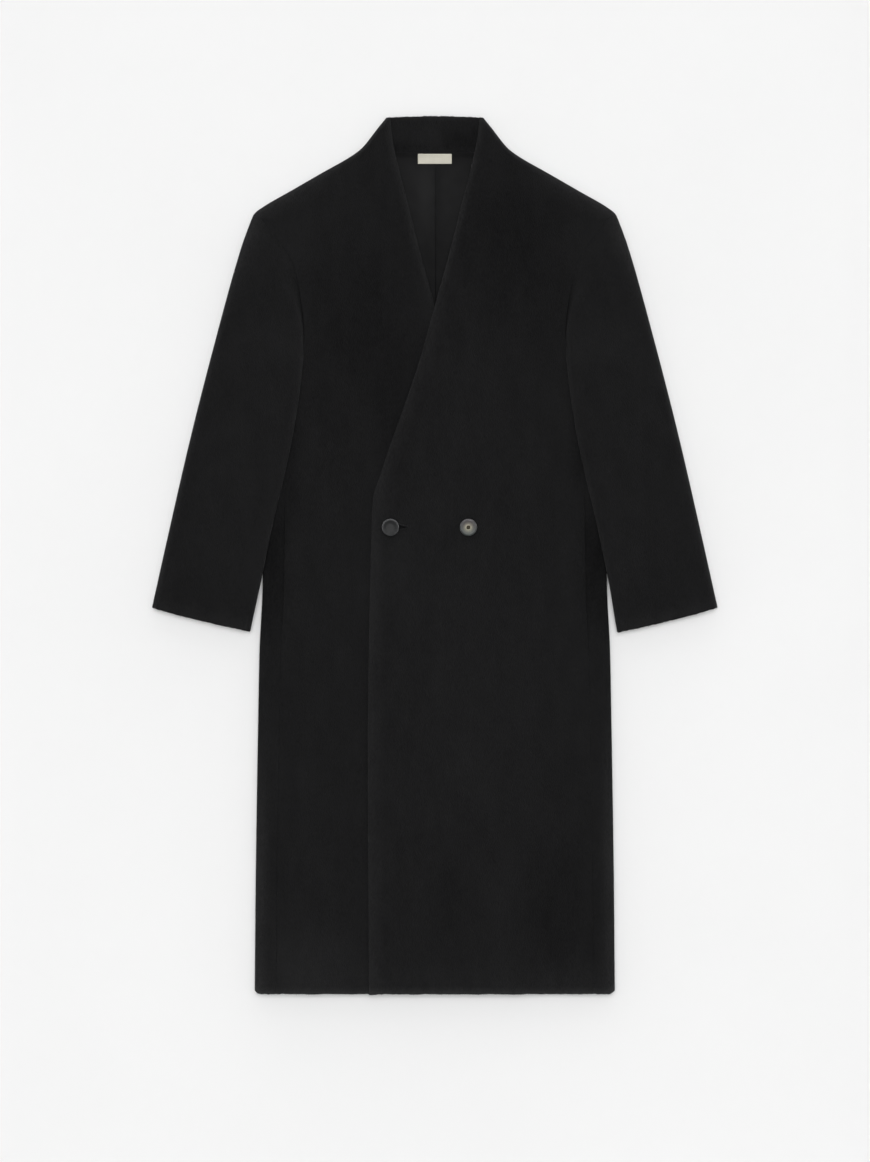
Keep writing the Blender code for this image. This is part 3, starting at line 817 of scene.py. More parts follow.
def add_hairs(node, lines, material):
    """Loose hairs along the edges of a piece.

    Each is a three-sided spike of two rings and a tip. It leaves the edge outwards with a random lean,
    bends aside with the square of the way along it, and thins towards its tip.
    """
    roots, ways = [], []
    for points, outward in lines:
        run = np.insert(np.cumsum(np.linalg.norm(np.diff(points, axis=0), axis=1)), 0, 0)
        place = chance.uniform(0, run[-1], int(run[-1] / HAIR_SPACING))
        roots.append(np.stack([np.interp(place, run, points[:, axis]) for axis in range(3)], axis=1))
        ways.append(np.stack([np.interp(place, run, outward[:, axis]) for axis in range(3)], axis=1))
    way = unit(np.concatenate(ways))
    count = len(way)
    root = np.concatenate(roots) - way * HAIR_ROOT + chance.normal(0, HAIR_SCATTER, (count, 3))
    aim = unit(way + chance.normal(0, HAIR_LEAN, (count, 3)))
    side = unit(np.cross(aim, chance.normal(0, 1, (count, 3))))
    other = np.cross(aim, side)
    length = HAIR_LENGTH * chance.uniform(HAIR_SHORTEST, 1, count) ** HAIR_POWER
    bend = side * (length * chance.normal(0, HAIR_BEND, count))[:, None]
    thick = HAIR_RADIUS * chance.uniform(*HAIR_RADII, count)
    rings = []
    for part, share in HAIR_RINGS:
        middle = root + aim * (length * part)[:, None] + bend * part ** 2
        for angle in np.arange(HAIR_SIDES) * 2 * pi / HAIR_SIDES:
            rings.append(middle + (side * np.cos(angle) + other * np.sin(angle)) * (thick * share)[:, None])
    points = np.stack(rings + [root + aim * length[:, None] + bend], axis=1)
    points[..., 2] = np.maximum(points[..., 2], HAIR_FLOOR)
    start = np.arange(count)[:, None, None] * points.shape[1]
    here = np.arange(HAIR_SIDES)
    after = (here + 1) % HAIR_SIDES
    band = np.stack((here, after, HAIR_SIDES + after, HAIR_SIDES + here), axis=1)
    tip = np.stack((HAIR_SIDES + here, HAIR_SIDES + after, np.full_like(here, 2 * HAIR_SIDES)), axis=1)
    ends = np.concatenate((tip, here[None, ::-1]))
    faces = [(start + band).reshape(-1, 4), (start + ends).reshape(-1, 3)]
    return add_mesh(f"{node}_hairs", points.reshape(-1, 3), faces, material)


def tubes(paths, radius):
    """Round profile carried along each path of an array (path, step, place), with flat ends."""
    count, length = paths.shape[:2]
    along = unit(np.gradient(paths, axis=1))
    side = unit(np.cross(along, OBLIQUE))
    other = np.cross(side, along)
    angle = np.linspace(0, 2 * pi, TUBE_SIDES, endpoint=False)[:, None]
    ring = side[:, :, None] * np.cos(angle) + other[:, :, None] * np.sin(angle)
    points = paths[:, :, None] + radius * ring
    number = np.arange(count * length * TUBE_SIDES).reshape(count, length, TUBE_SIDES)
    closed = np.concatenate((number, number[..., :1]), axis=2)
    around = closed[:, :-1, :-1], closed[:, 1:, :-1], closed[:, 1:, 1:], closed[:, :-1, 1:]
    walls = np.stack(around, axis=-1)
    ends = np.concatenate((number[:, 0], number[:, -1, ::-1]))
    return points.reshape(-1, 3), [walls.reshape(-1, 4), ends]


def softened(profile, times):
    """Profile with its corners cut: every line keeps its middle half, again and again."""
    for _ in range(times):
        near = 0.75 * profile[:-1] + 0.25 * profile[1:]
        far = 0.25 * profile[:-1] + 0.75 * profile[1:]
        cut = np.stack((near, far), axis=1).reshape(-1, 2)
        profile = np.concatenate((profile[:1], cut, profile[-1:]))
    return profile


def add_button(node, x, holes, material):
    """Turned button: its softened profile goes round its axis, and dips in round each sewing hole."""
    face = np.array([(turn.radius, BUTTON_TOP - turn.below) for turn in BUTTON_FACE])
    dish = steps(0, face[1, 0], DISH_PITCH)
    middle = np.stack((dish, np.full_like(dish, face[0, 1])), axis=1)
    profile = np.concatenate((middle, softened(face[1:], SOFTENINGS)[1:]))
    angle = np.linspace(0, 2 * pi, BUTTON_STEPS, endpoint=False)
    radius, height = profile[1:-1, :1], profile[1:-1, 1:]
    around = np.stack((radius * np.cos(angle), radius * np.sin(angle), height + 0 * angle), axis=2)
    upper = (np.arange(len(radius)) < len(middle) + HOLE_RINGS)[:, None]
    for hole_x, hole_y in holes:
        way = np.hypot(around[..., 0] - hole_x, around[..., 1] - hole_y)
        around[..., 2] -= upper * HOLE_DEPTH * ease((HOLE_RADIUS - way) / (HOLE_RADIUS * HOLE_WALL))
    number = np.arange(around[..., 0].size).reshape(around.shape[:2])
    closed = np.concatenate((number, number[:, :1]), axis=1)
    top_pole, low_pole = number.size, number.size + 1
    top_fan = np.stack((np.full(BUTTON_STEPS, top_pole), closed[0, :-1], closed[0, 1:]), axis=1)
    low_fan = np.stack((np.full(BUTTON_STEPS, low_pole), closed[-1, 1:], closed[-1, :-1]), axis=1)
    poles = np.array(((0, 0, profile[0, 1]), (0, 0, profile[-1, 1])))
    points = np.concatenate((around.reshape(-1, 3), poles)) + np.array((x, BUTTON_Y, 0))
    piece = add_mesh(f"{node}_turned", points, [quads(closed)[:, ::-1], top_fan, low_fan], material)
    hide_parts(node)


# The cut pieces

SLIT_ROWS = BUTTON_Y + SLIT_PITCH * (np.arange(-SLIT_SIDE_ROWS, SLIT_SIDE_ROWS) + 0.5)
BODY_ROWS = np.unique(np.concatenate((
    HEM + FREE_ROUND * ROUNDING, steps(HEM + FREE_ROUND, BUTTON_Y - SLIT_ROOM, SKIRT_PITCH)[1:-1], SLIT_ROWS,
    steps(BUTTON_Y + SLIT_ROOM, UNDERARM, SKIRT_PITCH)[1:], steps(UNDERARM, SHOULDER_TIP, ARMHOLE_PITCH),
    steps(SHOULDER_TIP, SHOULDER_TIP + TIP_JOG, TIP_PITCH),
    steps(SHOULDER_TIP + TIP_JOG, TOP - FREE_ROUND, SHOULDER_PITCH)[1:-1], TOP - FREE_ROUND * ROUNDING,
)))
SLEEVE_ROWS = np.concatenate((
    SLEEVE[-1].inner_y + FREE_ROUND * ROUNDING,
    steps(SLEEVE[-1].inner_y + FREE_ROUND, SHOULDER_TIP - FREE_ROUND, ARMHOLE_PITCH)[1:-1],
    SHOULDER_TIP - FREE_ROUND * ROUNDING[::-1],
))


def spread(width, across):
    """Distances across cloth of each width: fine steps over its two spans, and even ones between."""
    near = np.minimum(across.near, NEAR_SHARE * width)
    far = np.minimum(across.far, FAR_SHARE * width)
    near_part, far_part = [
        np.concatenate((FREE_ROUND * ROUNDING, steps(FREE_ROUND, span, across.pitch)[1:])) / span
        for span in (across.near, across.far)
    ]
    between = near + (width - near - far) * np.linspace(0, 1, across.count + 1)[1:-1]
    return np.concatenate((near * near_part, between, width - far * far_part[::-1]), axis=1)


def slit_shift(x, y):
    """Way that the rows beside the buttonhole give to open it, less and less further off."""
    past = x - FASTENED_X
    taper = np.clip((past - BUTTON_RADIUS) / (HOLE_END - BUTTON_RADIUS), 0, 1)
    outside = np.maximum(np.maximum(HOLE_START - past, past - HOLE_END), 0)
    opening = HOLE_WIDE + (HOLE_NARROW - HOLE_WIDE) * taper - SLIT_PITCH / 2
    opening = opening * np.exp(-outside / HOLE_REACH)
    off = y - BUTTON_Y
    return np.sign(off) * opening * np.exp(-np.maximum(np.abs(off) - SLIT_PITCH / 2, 0) / HOLE_REACH)


def front_painted_sheen(x, y, from_edge):
    """Painted sheen on a front: along the V neck, the front edge and the strip beside it, hem and shoulder.
    """
    in_neck = ease((y - NECK_POINT + NECK_FADE) / (2 * NECK_FADE))
    rim = np.where(y > SHOULDER_TIP, outline_distance(x, y), np.inf)
    edge = painted_light_at(from_edge, NECK_PAINTED_SHEEN) * in_neck + painted_light_at(from_edge, EDGE_PAINTED_SHEEN) * (1 - in_neck)
    strip = painted_light_at(from_edge, STRIP_PAINTED_SHEEN) * (1 - in_neck)
    outer_shoulder = painted_light_at(rim, SHOULDER_PAINTED_SHEEN) * ease((x - SHOULDER_SHEEN_START) / SHOULDER_SHEEN_REACH)
    shoulder = np.maximum(painted_light_at(rim, RIM_PAINTED_SHEEN), outer_shoulder)
    return np.maximum(edge, strip) + painted_light_at(y - HEM, HEM_PAINTED_SHEEN) + painted_light_at(y - HEM, HEM_STRIP_PAINTED_LIGHTER) + shoulder


def make_front(side, node, wool):
    """One front with its half of the collar, rolled over at shoulder and collar side."""
    y = BODY_ROWS[:, None]
    inner = half_width(FRONT_EDGE, y)
    x = inner + spread(front_outer(y) - inner, FRONT_ACROSS)
    y = y + hem_shift(side * x, y)
    from_edge = x - half_width(FRONT_EDGE, y)
    if side > 0:
        y = y - CORNER_DIP * np.exp(-(from_edge / CORNER_WIDTH) ** 2) * fading(y - HEM, HEM_REACH)
        y = y + slit_shift(x, y)
    level = front_level(side, x, y)
    z = RIM + (level - RIM) * outer_roll(x, y)
    grid = np.stack((x, y + collar_shift(x, y), z), axis=2)
    slit = None
    if side > 0:
        row = np.searchsorted(BODY_ROWS, BUTTON_Y) - 1
        inside = (x[row] > FASTENED_X + HOLE_START) & (x[row] < FASTENED_X + HOLE_END)
        slit = row, np.flatnonzero(inside)
    lines = [edge_line(grid, "first row"), edge_line(grid, "last row")]
    free = BODY_ROWS > (HEM if side > 0 else NECK_POINT)
    lines.append([part[free] for part in edge_line(grid, "first column")])
    shoulder = BODY_ROWS > SHOULDER_TIP + TIP_JOG
    lines.append([part[shoulder] for part in edge_line(grid, "last column")])
    rounds = (FREE_ROUND, FREE_ROUND, FREE_ROUND, SEWN_ROUND)
    # Patches of painted shade and tone, and a painted sheen along the edges
    tone = patchy(NAP_TONE_AND_SHADE, side * x, y)
    painted_sheen = front_painted_sheen(x, y, from_edge)
    add_cloth(node, grid, WALL, wool, rounds, side, tone, painted_sheen, slit, lines)


def make_back(wool):
    """Back on the surface; below the underarm its sides roll over the side folds to the side seam.

    Across one half: a strip from the seam, a quarter-ellipse down to the fold, a smaller one under it,
    then the flat. Above the underarm the strip and roll close up into the edge of the armhole.
    """
    y = BODY_ROWS[:, None]
    rim = half_width(SIDE_FOLD, y) - WALL / 2
    seam = side_seam(y) + SEWN_GAP - POCKET_TUCK * ease(2 * pocket_part(y) - 1)
    strip = spread(rim - SIDE_ROLL - seam, STRIP_ACROSS)[:, :-1]
    down = np.linspace(pi / 2, 0, ROLL_POINTS)
    under = np.linspace(0, -pi / 2, UNDER_ROLL_POINTS)[1:]
    middle = (FRONT_MID + BACK_MID) / 2
    tall = (FRONT_MID - BACK_MID) / 2
    sunk = POCKET_SINK * pocket_step(y)
    wrap_x = np.concatenate((
        seam + strip, rim - SIDE_ROLL * (1 - np.cos(down)), rim - SIDE_UNDER_ROLL * (1 - np.cos(under)),
    ), axis=1)
    wrap_z = np.concatenate((
        np.broadcast_to(FRONT_MID - sunk, strip.shape), middle + (tall - sunk) * np.sin(down),
        np.broadcast_to(middle + tall * np.sin(under), (len(y), len(under))),
    ), axis=1)
    lift = ease(1 - (y - UNDERARM) / UNDERARM_CLOSE)
    closing = back_outer(y) - FREE_ROUND * np.linspace(0, 1, wrap_x.shape[1])
    wrap_x = closing + (wrap_x - closing) * lift
    wrap_z = BACK_MID + (wrap_z - BACK_MID) * lift
    flat_x = wrap_x[:, -1:] * np.linspace(1, 0, BACK_POINTS)[1:-1]
    half_x = np.concatenate((wrap_x, flat_x), axis=1)
    half_z = np.concatenate((wrap_z, np.full_like(flat_x, BACK_MID)), axis=1)
    x = np.concatenate((half_x, np.zeros_like(y), -half_x[:, ::-1]), axis=1)
    z = np.concatenate((half_z, np.full_like(y, BACK_MID), half_z[:, ::-1]), axis=1)
    on_surface = ease(1 - (z - BACK_MID))
    z = z + creased(BACK_CREASES, x, y) * on_surface
    # Painted sheen along the low side folds and the hem, and patches of painted shade and tone
    from_fold = half_width(SIDE_FOLD, y) - np.abs(x)
    low_side = ease((SIDE_SHEEN_TOP - y) / SIDE_SHEEN_REACH) * (1 - on_surface)
    painted_sheen = painted_light_at(from_fold, SIDE_PAINTED_SHEEN) * low_side + painted_light_at(y - HEM, HEM_PAINTED_SHEEN) + painted_light_at(y - HEM, HEM_STRIP_PAINTED_LIGHTER)
    tone = patchy(NAP_TONE_AND_SHADE, x, y)
    y = y + hem_shift(x, y) + collar_shift(x, y)
    grid = np.stack((x, y, z), axis=2)
    lines = [edge_line(grid, "first row"), edge_line(grid, "last row")]
    skirt = BODY_ROWS < UNDERARM
    for column in (strip.shape[1] + len(down) - 1, -strip.shape[1] - len(down)):
        points = grid[skirt, column]
        lines.append((points, np.sign(points[:, :1]) * SIDE_HAIR_WAY))
    rounds = (FREE_ROUND, FREE_ROUND, SEWN_ROUND, SEWN_ROUND)
    add_cloth("back", grid, WALL, wool, rounds, tone=tone, painted_sheen=painted_sheen, hair_lines=lines)


def across_sleeve(inner_x, outer_x, across):
    """Places between a sleeve's two edges: way from the inner one, its share of the width, x and y."""
    inner_y = SLEEVE_ROWS[:, None]
    outer_y = sleeve_column("outer_y", inner_y) + TIP_RISE * near_tip(inner_y)
    width = outer_x - inner_x
    way = spread(width, across)
    return way, way / width, inner_x + way, inner_y + (outer_y - inner_y) * way / width


def with_cuff(side, x, y, z, share, phase):
    """Grid of a sleeve's points, with the line of its cuff moved and made a little uneven."""
    from_cuff = SLEEVE_ROWS[:, None] - SLEEVE[-1].inner_y
    shift_x, shift_y = cuff_shift(side, share, from_cuff)
    y = y + HEM_UNEVEN * uneven(x + side * phase) * fading(from_cuff, HEM_REACH) + shift_y
    return np.stack((x + shift_x, y, z), axis=2)


def make_upper_sleeve(side, node, creases, wool):
    """Upper half of a sleeve: sewn flush at its head, folded over the front below, rolled outside."""
    inner_y = SLEEVE_ROWS[:, None]
    lap = sleeve_column("lap", inner_y)
    outer_x = sleeve_column("outer_x", inner_y) - WALL / 2
    folded_x = sleeve_column("inner_x", inner_y)
    sewn_x = half_width(FRONT_ARMHOLE, inner_y) + SEWN_GAP
    inner_x = np.where(inner_y > FOLD_START, sewn_x, folded_x)
    from_inner, share, x, y = across_sleeve(inner_x, outer_x, UPPER_ACROSS)
    widest_roll = WIDEST_SLEEVE_ROLL * (outer_x - inner_x)
    inner_roll = np.minimum(HEAD_ROLL + (FOLD_ROLL - HEAD_ROLL) * lap, widest_roll)
    from_cuff = inner_y - SLEEVE[-1].inner_y
    on_body = lifted(x, y, from_cuff, times=2)
    low_crown = LOW_CROWN - CUFF_SINK * fading(from_cuff, CUFF_REACH)
    crown = low_crown + (SLEEVE_CROWN - low_crown) * on_body
    crown = crown + creased(creases, side * x, y) * rounded(from_inner / CREASE_FADE)
    dropped = 1 - lifted(x[:, :1], y[:, :1], from_cuff, times=1)
    rim = FRONT_MID + (FOLD_RIM - FRONT_MID) * lap - (UNDER_SLEEVE_MID - BACK_MID) * dropped * lap
    climbed = from_inner / inner_roll
    climb = ease(climbed) + (rounded(climbed) - ease(climbed)) * lap
    level = rim + (crown - rim) * climb * (1 - near_tip(inner_y))
    z = RIM + (level - RIM) * outer_roll(x, y)
    from_rim = outline_distance(x, y)
    grid = with_cuff(side, x, y, z, share, UPPER_PHASE)
    y = grid[..., 1]
    # Painted sheen along the rim, the cuff, the inner fold and near the head; patches of painted shade and
    # tone
    near_head = ease((y - HEAD_SHEEN_LOW) / HEAD_SHEEN_REACH)
    painted_sheen = np.maximum.reduce((
        painted_light_at(from_rim, RIM_PAINTED_SHEEN), painted_light_at(from_cuff, CUFF_PAINTED_SHEEN) * np.ones_like(x),
        painted_light_at(from_inner, FOLD_PAINTED_SHEEN) * lap, painted_light_at(from_rim, SHOULDER_PAINTED_SHEEN) * near_head,
    ))
    tone = patchy(NAP_TONE_AND_SHADE, side * x, y) * (1 - lap)
    folded = SLEEVE_ROWS < FOLD_START
    lines = [edge_line(grid, "first row"), edge_line(grid, "last column")]
    lines.append([part[folded] for part in edge_line(grid, "first column")])
    rounds = (FREE_ROUND, SEWN_ROUND, SEWN_ROUND + (FREE_ROUND - SEWN_ROUND) * lap, FREE_ROUND)
    add_cloth(node, grid, WALL, wool, rounds, side, tone, painted_sheen, hair_lines=lines)


def make_under_sleeve(side, node, wool):
    """Under half of a sleeve: on the surface, and up over the body's side where it lies on it."""
    inner_y = SLEEVE_ROWS[:, None]
    outer_x = sleeve_column("outer_x", inner_y) - ROLLED_INSET
    from_cuff = inner_y - SLEEVE[-1].inner_y
    inset = FOLD_INSET + (CUFF_INSET - FOLD_INSET) * fading(from_cuff, HEM_REACH)
    inside_fold = sleeve_column("inner_x", inner_y) + inset
    sewn = half_width(BACK_ARMHOLE, inner_y) + SEWN_GAP
    inner_x = sewn + (inside_fold - sewn) * ease((UNDERARM - inner_y) / UNDERARM_REACH)
    _, share, x, y = across_sleeve(inner_x, outer_x, UNDER_ACROSS)
    z = BACK_MID + (UNDER_SLEEVE_MID - BACK_MID) * lifted(x, y, from_cuff, times=1)
    grid = with_cuff(side, x, y, z, share, UNDER_PHASE)
    # Painted sheen along the cuff
    painted_sheen = painted_light_at(from_cuff, CUFF_PAINTED_SHEEN) * np.ones_like(x)
    rounds = (FREE_ROUND, SEWN_ROUND, SEWN_ROUND, FREE_ROUND)
    lines = [edge_line(grid, "first row")]
    add_cloth(node, grid, WALL, wool, rounds, side, painted_sheen=painted_sheen, hair_lines=lines)


def make_neck_facing(wool):
    """Band of wool inside the back collar, from its top edge down to the lining."""
    y = edge_first(BAND_LOW, TOP, BAND_PITCH)[:, None]
    under_front = half_width(SHOULDER, y) - (WALL / 2 + roll_radius(y) + BAND_INSET) * shoulder_stretch(y)
    half = np.maximum(under_front, half_width(FRONT_EDGE, y) + BAND_TUCK)
    x = spread(2 * half, BAND_ACROSS) - half
    y = np.broadcast_to(y, x.shape)
    z = FACING_MID + creased(BAND_CREASES, x, y)
    y = y + HEM_UNEVEN * uneven(x) * fading(TOP - y, HEM_CORNER) + collar_shift(x, y)
    grid = np.stack((x, y, z), axis=2)
    rounds = (SEWN_ROUND, FREE_ROUND, FREE_ROUND, FREE_ROUND)
    # Painted sheen along the collar's top edge, and lighter and darker patches
    painted_sheen = painted_light_at(TOP - y, RIM_PAINTED_SHEEN)
    tone = patchy(BAND_PATCHES, x, y)
    lines = [edge_line(grid, "last row")]
    add_cloth("neck_facing", grid, WALL, wool, rounds, tone=tone, painted_sheen=painted_sheen, hair_lines=lines)


def lining_rise(y):
    """Rise of the lining towards the band that it is sewn to."""
    return LINING_RISE * fading(BAND_LOW - y, RISE_REACH)


def make_back_lining(satin):
    """Satin below the band, tucked under the fronts: soft folds, and a pleat laid to the wearer's right."""
    top = BAND_LOW - SEWN_GAP
    y = np.concatenate((
        steps(LINING_LOW, top - RISE_REACH, LINING_PITCH), top - RISE_REACH * RISE_PLACES,
        top - FREE_ROUND * ROUNDING[::-1],
    ))[:, None]
    half = half_width(FRONT_EDGE, np.maximum(y, NECK_LOW)) + LINING_TUCK
    outside = half - PLEAT_WIDTH
    left = -half + outside * np.linspace(0, 1, LINING_LEFT_POINTS)[:-1]
    pleat = PLEAT_WIDTH * PLEAT_ACROSS + 0 * y
    right = pleat[:, -1:] + (half - pleat[:, -1:]) * np.linspace(0, 1, LINING_RIGHT_POINTS)[1:]
    x = np.concatenate((left, pleat, right), axis=1)
    y = np.broadcast_to(y, x.shape)
    fade = ease((PLEAT_FADE_HIGH - y) / (PLEAT_FADE_HIGH - PLEAT_FADE_LOW))
    drop = ease(1 - x / (PLEAT_ACROSS[-1] * PLEAT_WIDTH))
    climb = ease(1 + x / PLEAT_WIDTH) * drop
    z = LINING_MID + PLEAT_HEIGHT * climb * fade + creased(LINING_CREASES, x, y) * fade + lining_rise(y)
    grid = np.stack((x, y, z), axis=2)
    half_wall = LINING_WALL / 2
    rounds = (half_wall, SEWN_ROUND, half_wall, half_wall)
    # The satin's patches are painted sheen and shade
    add_cloth("back_lining", grid, LINING_WALL, satin, rounds, tone=patchy(SATIN_PAINTED_SHEEN_AND_SHADE, x, y))


def make_label(tape):
    """Bare woven label just under the band."""
    x = edge_first(label_low[0], label_high[0], LABEL_PITCH)
    y = edge_first(label_low[1], label_high[1] - LABEL_TRIM, LABEL_PITCH)
    x, y = np.meshgrid(x, y)
    grid = np.stack((x, y, LABEL_MID + lining_rise(y)), axis=2)
    add_cloth("label", grid, LABEL_WALL, tape, [LABEL_WALL / 2] * 4)


# Threads

def slit_half(x):
    """Half of the opening of the buttonhole at places x."""
    return SLIT_PITCH / 2 + slit_shift(x, np.full_like(x, BUTTON_Y + SLIT_PITCH / 2))


def make_buttonhole_stitches(thread):
    """Close stitches from the slit out over the cloth on both sides, and a bar across its inner end."""
    x = steps(FASTENED_X + HOLE_START, FASTENED_X + HOLE_END, STITCH_PITCH)
    out, over = np.array(STITCH_PATH).T
    paths = []
    for side in (-1, 1):
        y = BUTTON_Y + side * (slit_half(x)[:, None] + out)
        along = x[:, None] + STITCH_UNEVEN * uneven(STITCH_WAVES * x[:, None] + side) + 0 * out
        z = front_level(1, along, y) + WALL / 2 + over
        paths.append(np.stack((along, y, z), axis=2))
    out, over = np.array(BAR_PATH).T
    x = FASTENED_X + HOLE_END + STITCH_PITCH * np.arange(1, BAR_STITCHES + 1)[:, None] + 0 * out
    y = BUTTON_Y + out + 0 * x
    paths.append(np.stack((x, y, front_level(1, x, y) + WALL / 2 + over), axis=2))
    points, faces = tubes(np.concatenate(paths), THREAD_RADIUS)
    add_mesh("buttonhole_stitches", points, faces, thread)


def make_label_stitches(thread):
    """A row of short straight stitches across each end of the label."""
    span = label_high[1] - LABEL_TRIM - label_low[1] - 2 * LABEL_MARGIN
    along, over = np.array(LABEL_PATH).T
    y = label_low[1] + LABEL_MARGIN + np.arange(LABEL_STITCHES)[:, None] * span / LABEL_STITCHES + along
    z = label_high[2] + over + lining_rise(y)
    ends = (label_low[0] + LABEL_MARGIN, label_high[0] - LABEL_MARGIN)
    paths = np.concatenate([np.stack((np.full_like(y, x), y, z), axis=2) for x in ends])
    points, faces = tubes(paths, THREAD_RADIUS / 2)
    add_mesh("label_stitches", points, faces, thread)


def make_button_threads(thread):
    """Shanks of wound thread under both buttons, and crossed strands through the outer one's holes."""
    low = BUTTON_TOP - BUTTON_FACE[-1].below
    cloth = (FRONT_MID + WALL / 2, FRONT_MID + LAP_LIFT + WALL / 2)
    shanks = [
        np.linspace((x, BUTTON_Y, start), (x, BUTTON_Y, low), SHANK_POINTS)
        for x, start in zip((FASTENED_X, OUTER_X), cloth)
    ]
    points, faces = tubes(np.array(shanks), SHANK_RADIUS)
    add_mesh("button_shanks", points, faces, thread)
    part = np.linspace(-1, 1, STRAND_POINTS)
    narrow = 1 - STRANDS_NARROW * np.abs(part)
    dish = BUTTON_TOP - BUTTON_FACE[0].below
    rise = dish - STRAND_START + STRAND_RISE * rounded(STRAND_FULL * (1 - np.abs(part)))
    strands = []
    for turn in (1, -1):
        for shift in np.linspace(-STRANDS_HALF, STRANDS_HALF, STRANDS):
            x = OUTER_X + HOLE_OFFSET * part + shift * narrow
            y = BUTTON_Y + turn * HOLE_OFFSET * part - turn * shift * narrow
            z = rise + STRANDS_OVER * (turn > 0) - STRANDS_SAG * np.abs(shift)
            strands.append(np.stack((x, y, z), axis=1))
    points, faces = tubes(np.array(strands), THREAD_RADIUS)
    add_mesh("button_strands", points, faces, thread)


# Finishes

def add_node(tree, kind, sockets=None, **settings):
    """New node with its settings; a socket among its inputs is linked and any other value is set."""
    node = tree.nodes.new(kind)
    for name, value in settings.items():
        setattr(node, name, value)
    for key, value in (sockets or {}).items():
        if isinstance(value, bpy.types.NodeSocket):
            tree.links.new(value, node.inputs[key])
        else:
            node.inputs[key].default_value = value
    return node


def mix_colour(tree, factor, first, second):
    """Colour between two colours."""
    return add_node(tree, "ShaderNodeMix", {0: factor, 6: first, 7: second}, data_type="RGBA").outputs[2]


def calculate(tree, operation, first, second, third=0.0):
    """Result of one sum on values."""
    return add_node(tree, "ShaderNodeMath", {0: first, 1: second, 2: third}, operation=operation).outputs[0]


def noise(tree, place, scale, detail, roughness=0.5, distortion=0.0):
    """Soft noise with so many waves to the metre."""
    sockets = {"Vector": place, "Scale": scale, "Detail": detail}
    sockets |= {"Roughness": roughness, "Distortion": distortion}
    return add_node(tree, "ShaderNodeTexNoise", sockets).outputs[0]


def stretched(tree, place, scale):
    """Places drawn out along the axes."""
    return add_node(tree, "ShaderNodeMapping", {"Vector": place, "Scale": scale}).outputs[0]


def drawn_out(tree, place, turn, times):
    """Places that draw a pattern out so many times along Y, turned about Z."""
    sockets = {"Vector": place, "Rotation": (0, 0, turn), "Scale": (1, times, 1)}
    return add_node(tree, "ShaderNodeMapping", sockets, vector_type="TEXTURE").outputs[0]


def new_group(name, *values):
    """Shader node group with a place and named values as inputs: its tree, what it is given and makes."""
    tree = bpy.data.node_groups.new(name, "ShaderNodeTree")
    tree.interface.new_socket("Place", in_out="INPUT", socket_type="NodeSocketVector")
    for title in values:
        tree.interface.new_socket(title, in_out="INPUT", socket_type="NodeSocketFloat")
    for title in ("Tone", "Height"):
        tree.interface.new_socket(title, in_out="OUTPUT", socket_type="NodeSocketFloat")
    return tree, tree.nodes.new("NodeGroupInput").outputs, tree.nodes.new("NodeGroupOutput").inputs


def nap_group():
    """Brushed nap: two lays of fine fibres that cross, fuzz between them and broad uneven patches."""
    tree, given, made = new_group("brushed_nap", "Fibres", "Fuzz")
    place = given["Place"]
    lays = []
    for turn in FIBRE_TURNS:
        along = drawn_out(tree, place, turn, FIBRE_DRAW)
        lays.append(noise(tree, along, given["Fibres"], detail=2.0, roughness=0.6, distortion=0.3))
    fuzz = noise(tree, place, given["Fuzz"], detail=3.0, roughness=0.7)
    broad = noise(tree, drawn_out(tree, place, 0.0, PATCH_DRAW), scale=45.0, detail=3.0, roughness=0.6)
    fibres = calculate(tree, "MULTIPLY", calculate(tree, "ADD", *lays), FIBRE_SHARE)
    mixed = calculate(tree, "MULTIPLY_ADD", fuzz, FUZZ_SHARE, fibres)
    height = calculate(tree, "MULTIPLY_ADD", mixed, NAP_CONTRAST, (1 - NAP_CONTRAST) / 2)
    fine = calculate(tree, "MULTIPLY", height, 1 - BROAD_SHARE)
    tree.links.new(calculate(tree, "MULTIPLY_ADD", broad, BROAD_SHARE, fine), made["Tone"])
    tree.links.new(height, made["Height"])
    return tree


def weave_group():
    """Plain weave: ribs of threads along X and along Y, with a little unevenness."""
    tree, given, made = new_group("woven_threads", "Warp", "Weft")
    place = given["Place"]
    ribs = []
    for direction, pitch in (("X", "Warp"), ("Y", "Weft")):
        sockets = {"Vector": place, "Scale": given[pitch], "Distortion": 0.6, "Detail": 1.0}
        ribs.append(add_node(tree, "ShaderNodeTexWave", sockets, bands_direction=direction).outputs[1])
    height = calculate(tree, "MULTIPLY", calculate(tree, "ADD", *ribs), 0.5)
    patches = noise(tree, place, scale=60.0, detail=3.0)
    fine = calculate(tree, "MULTIPLY", height, 1 - UNEVEN_SHARE)
    tree.links.new(calculate(tree, "MULTIPLY_ADD", patches, UNEVEN_SHARE, fine), made["Tone"])
    tree.links.new(height, made["Height"])
    return tree


def horn_group():
    """Polished horn: drawn-out streaks under fine scratches."""
    tree, given, made = new_group("horn_grain", "Streaks")
    along = stretched(tree, given["Place"], (1.0, 0.3, 1.0))
    streaks = noise(tree, along, given["Streaks"], detail=4.0, roughness=0.6, distortion=1.2)
    across = stretched(tree, given["Place"], (0.2, 1.0, 1.0))
    scratches = noise(tree, across, scale=4200.0, detail=2.0)
    tree.links.new(streaks, made["Tone"])
    tree.links.new(calculate(tree, "MULTIPLY_ADD", scratches, SCRATCH_SHARE, streaks), made["Height"])
    return tree


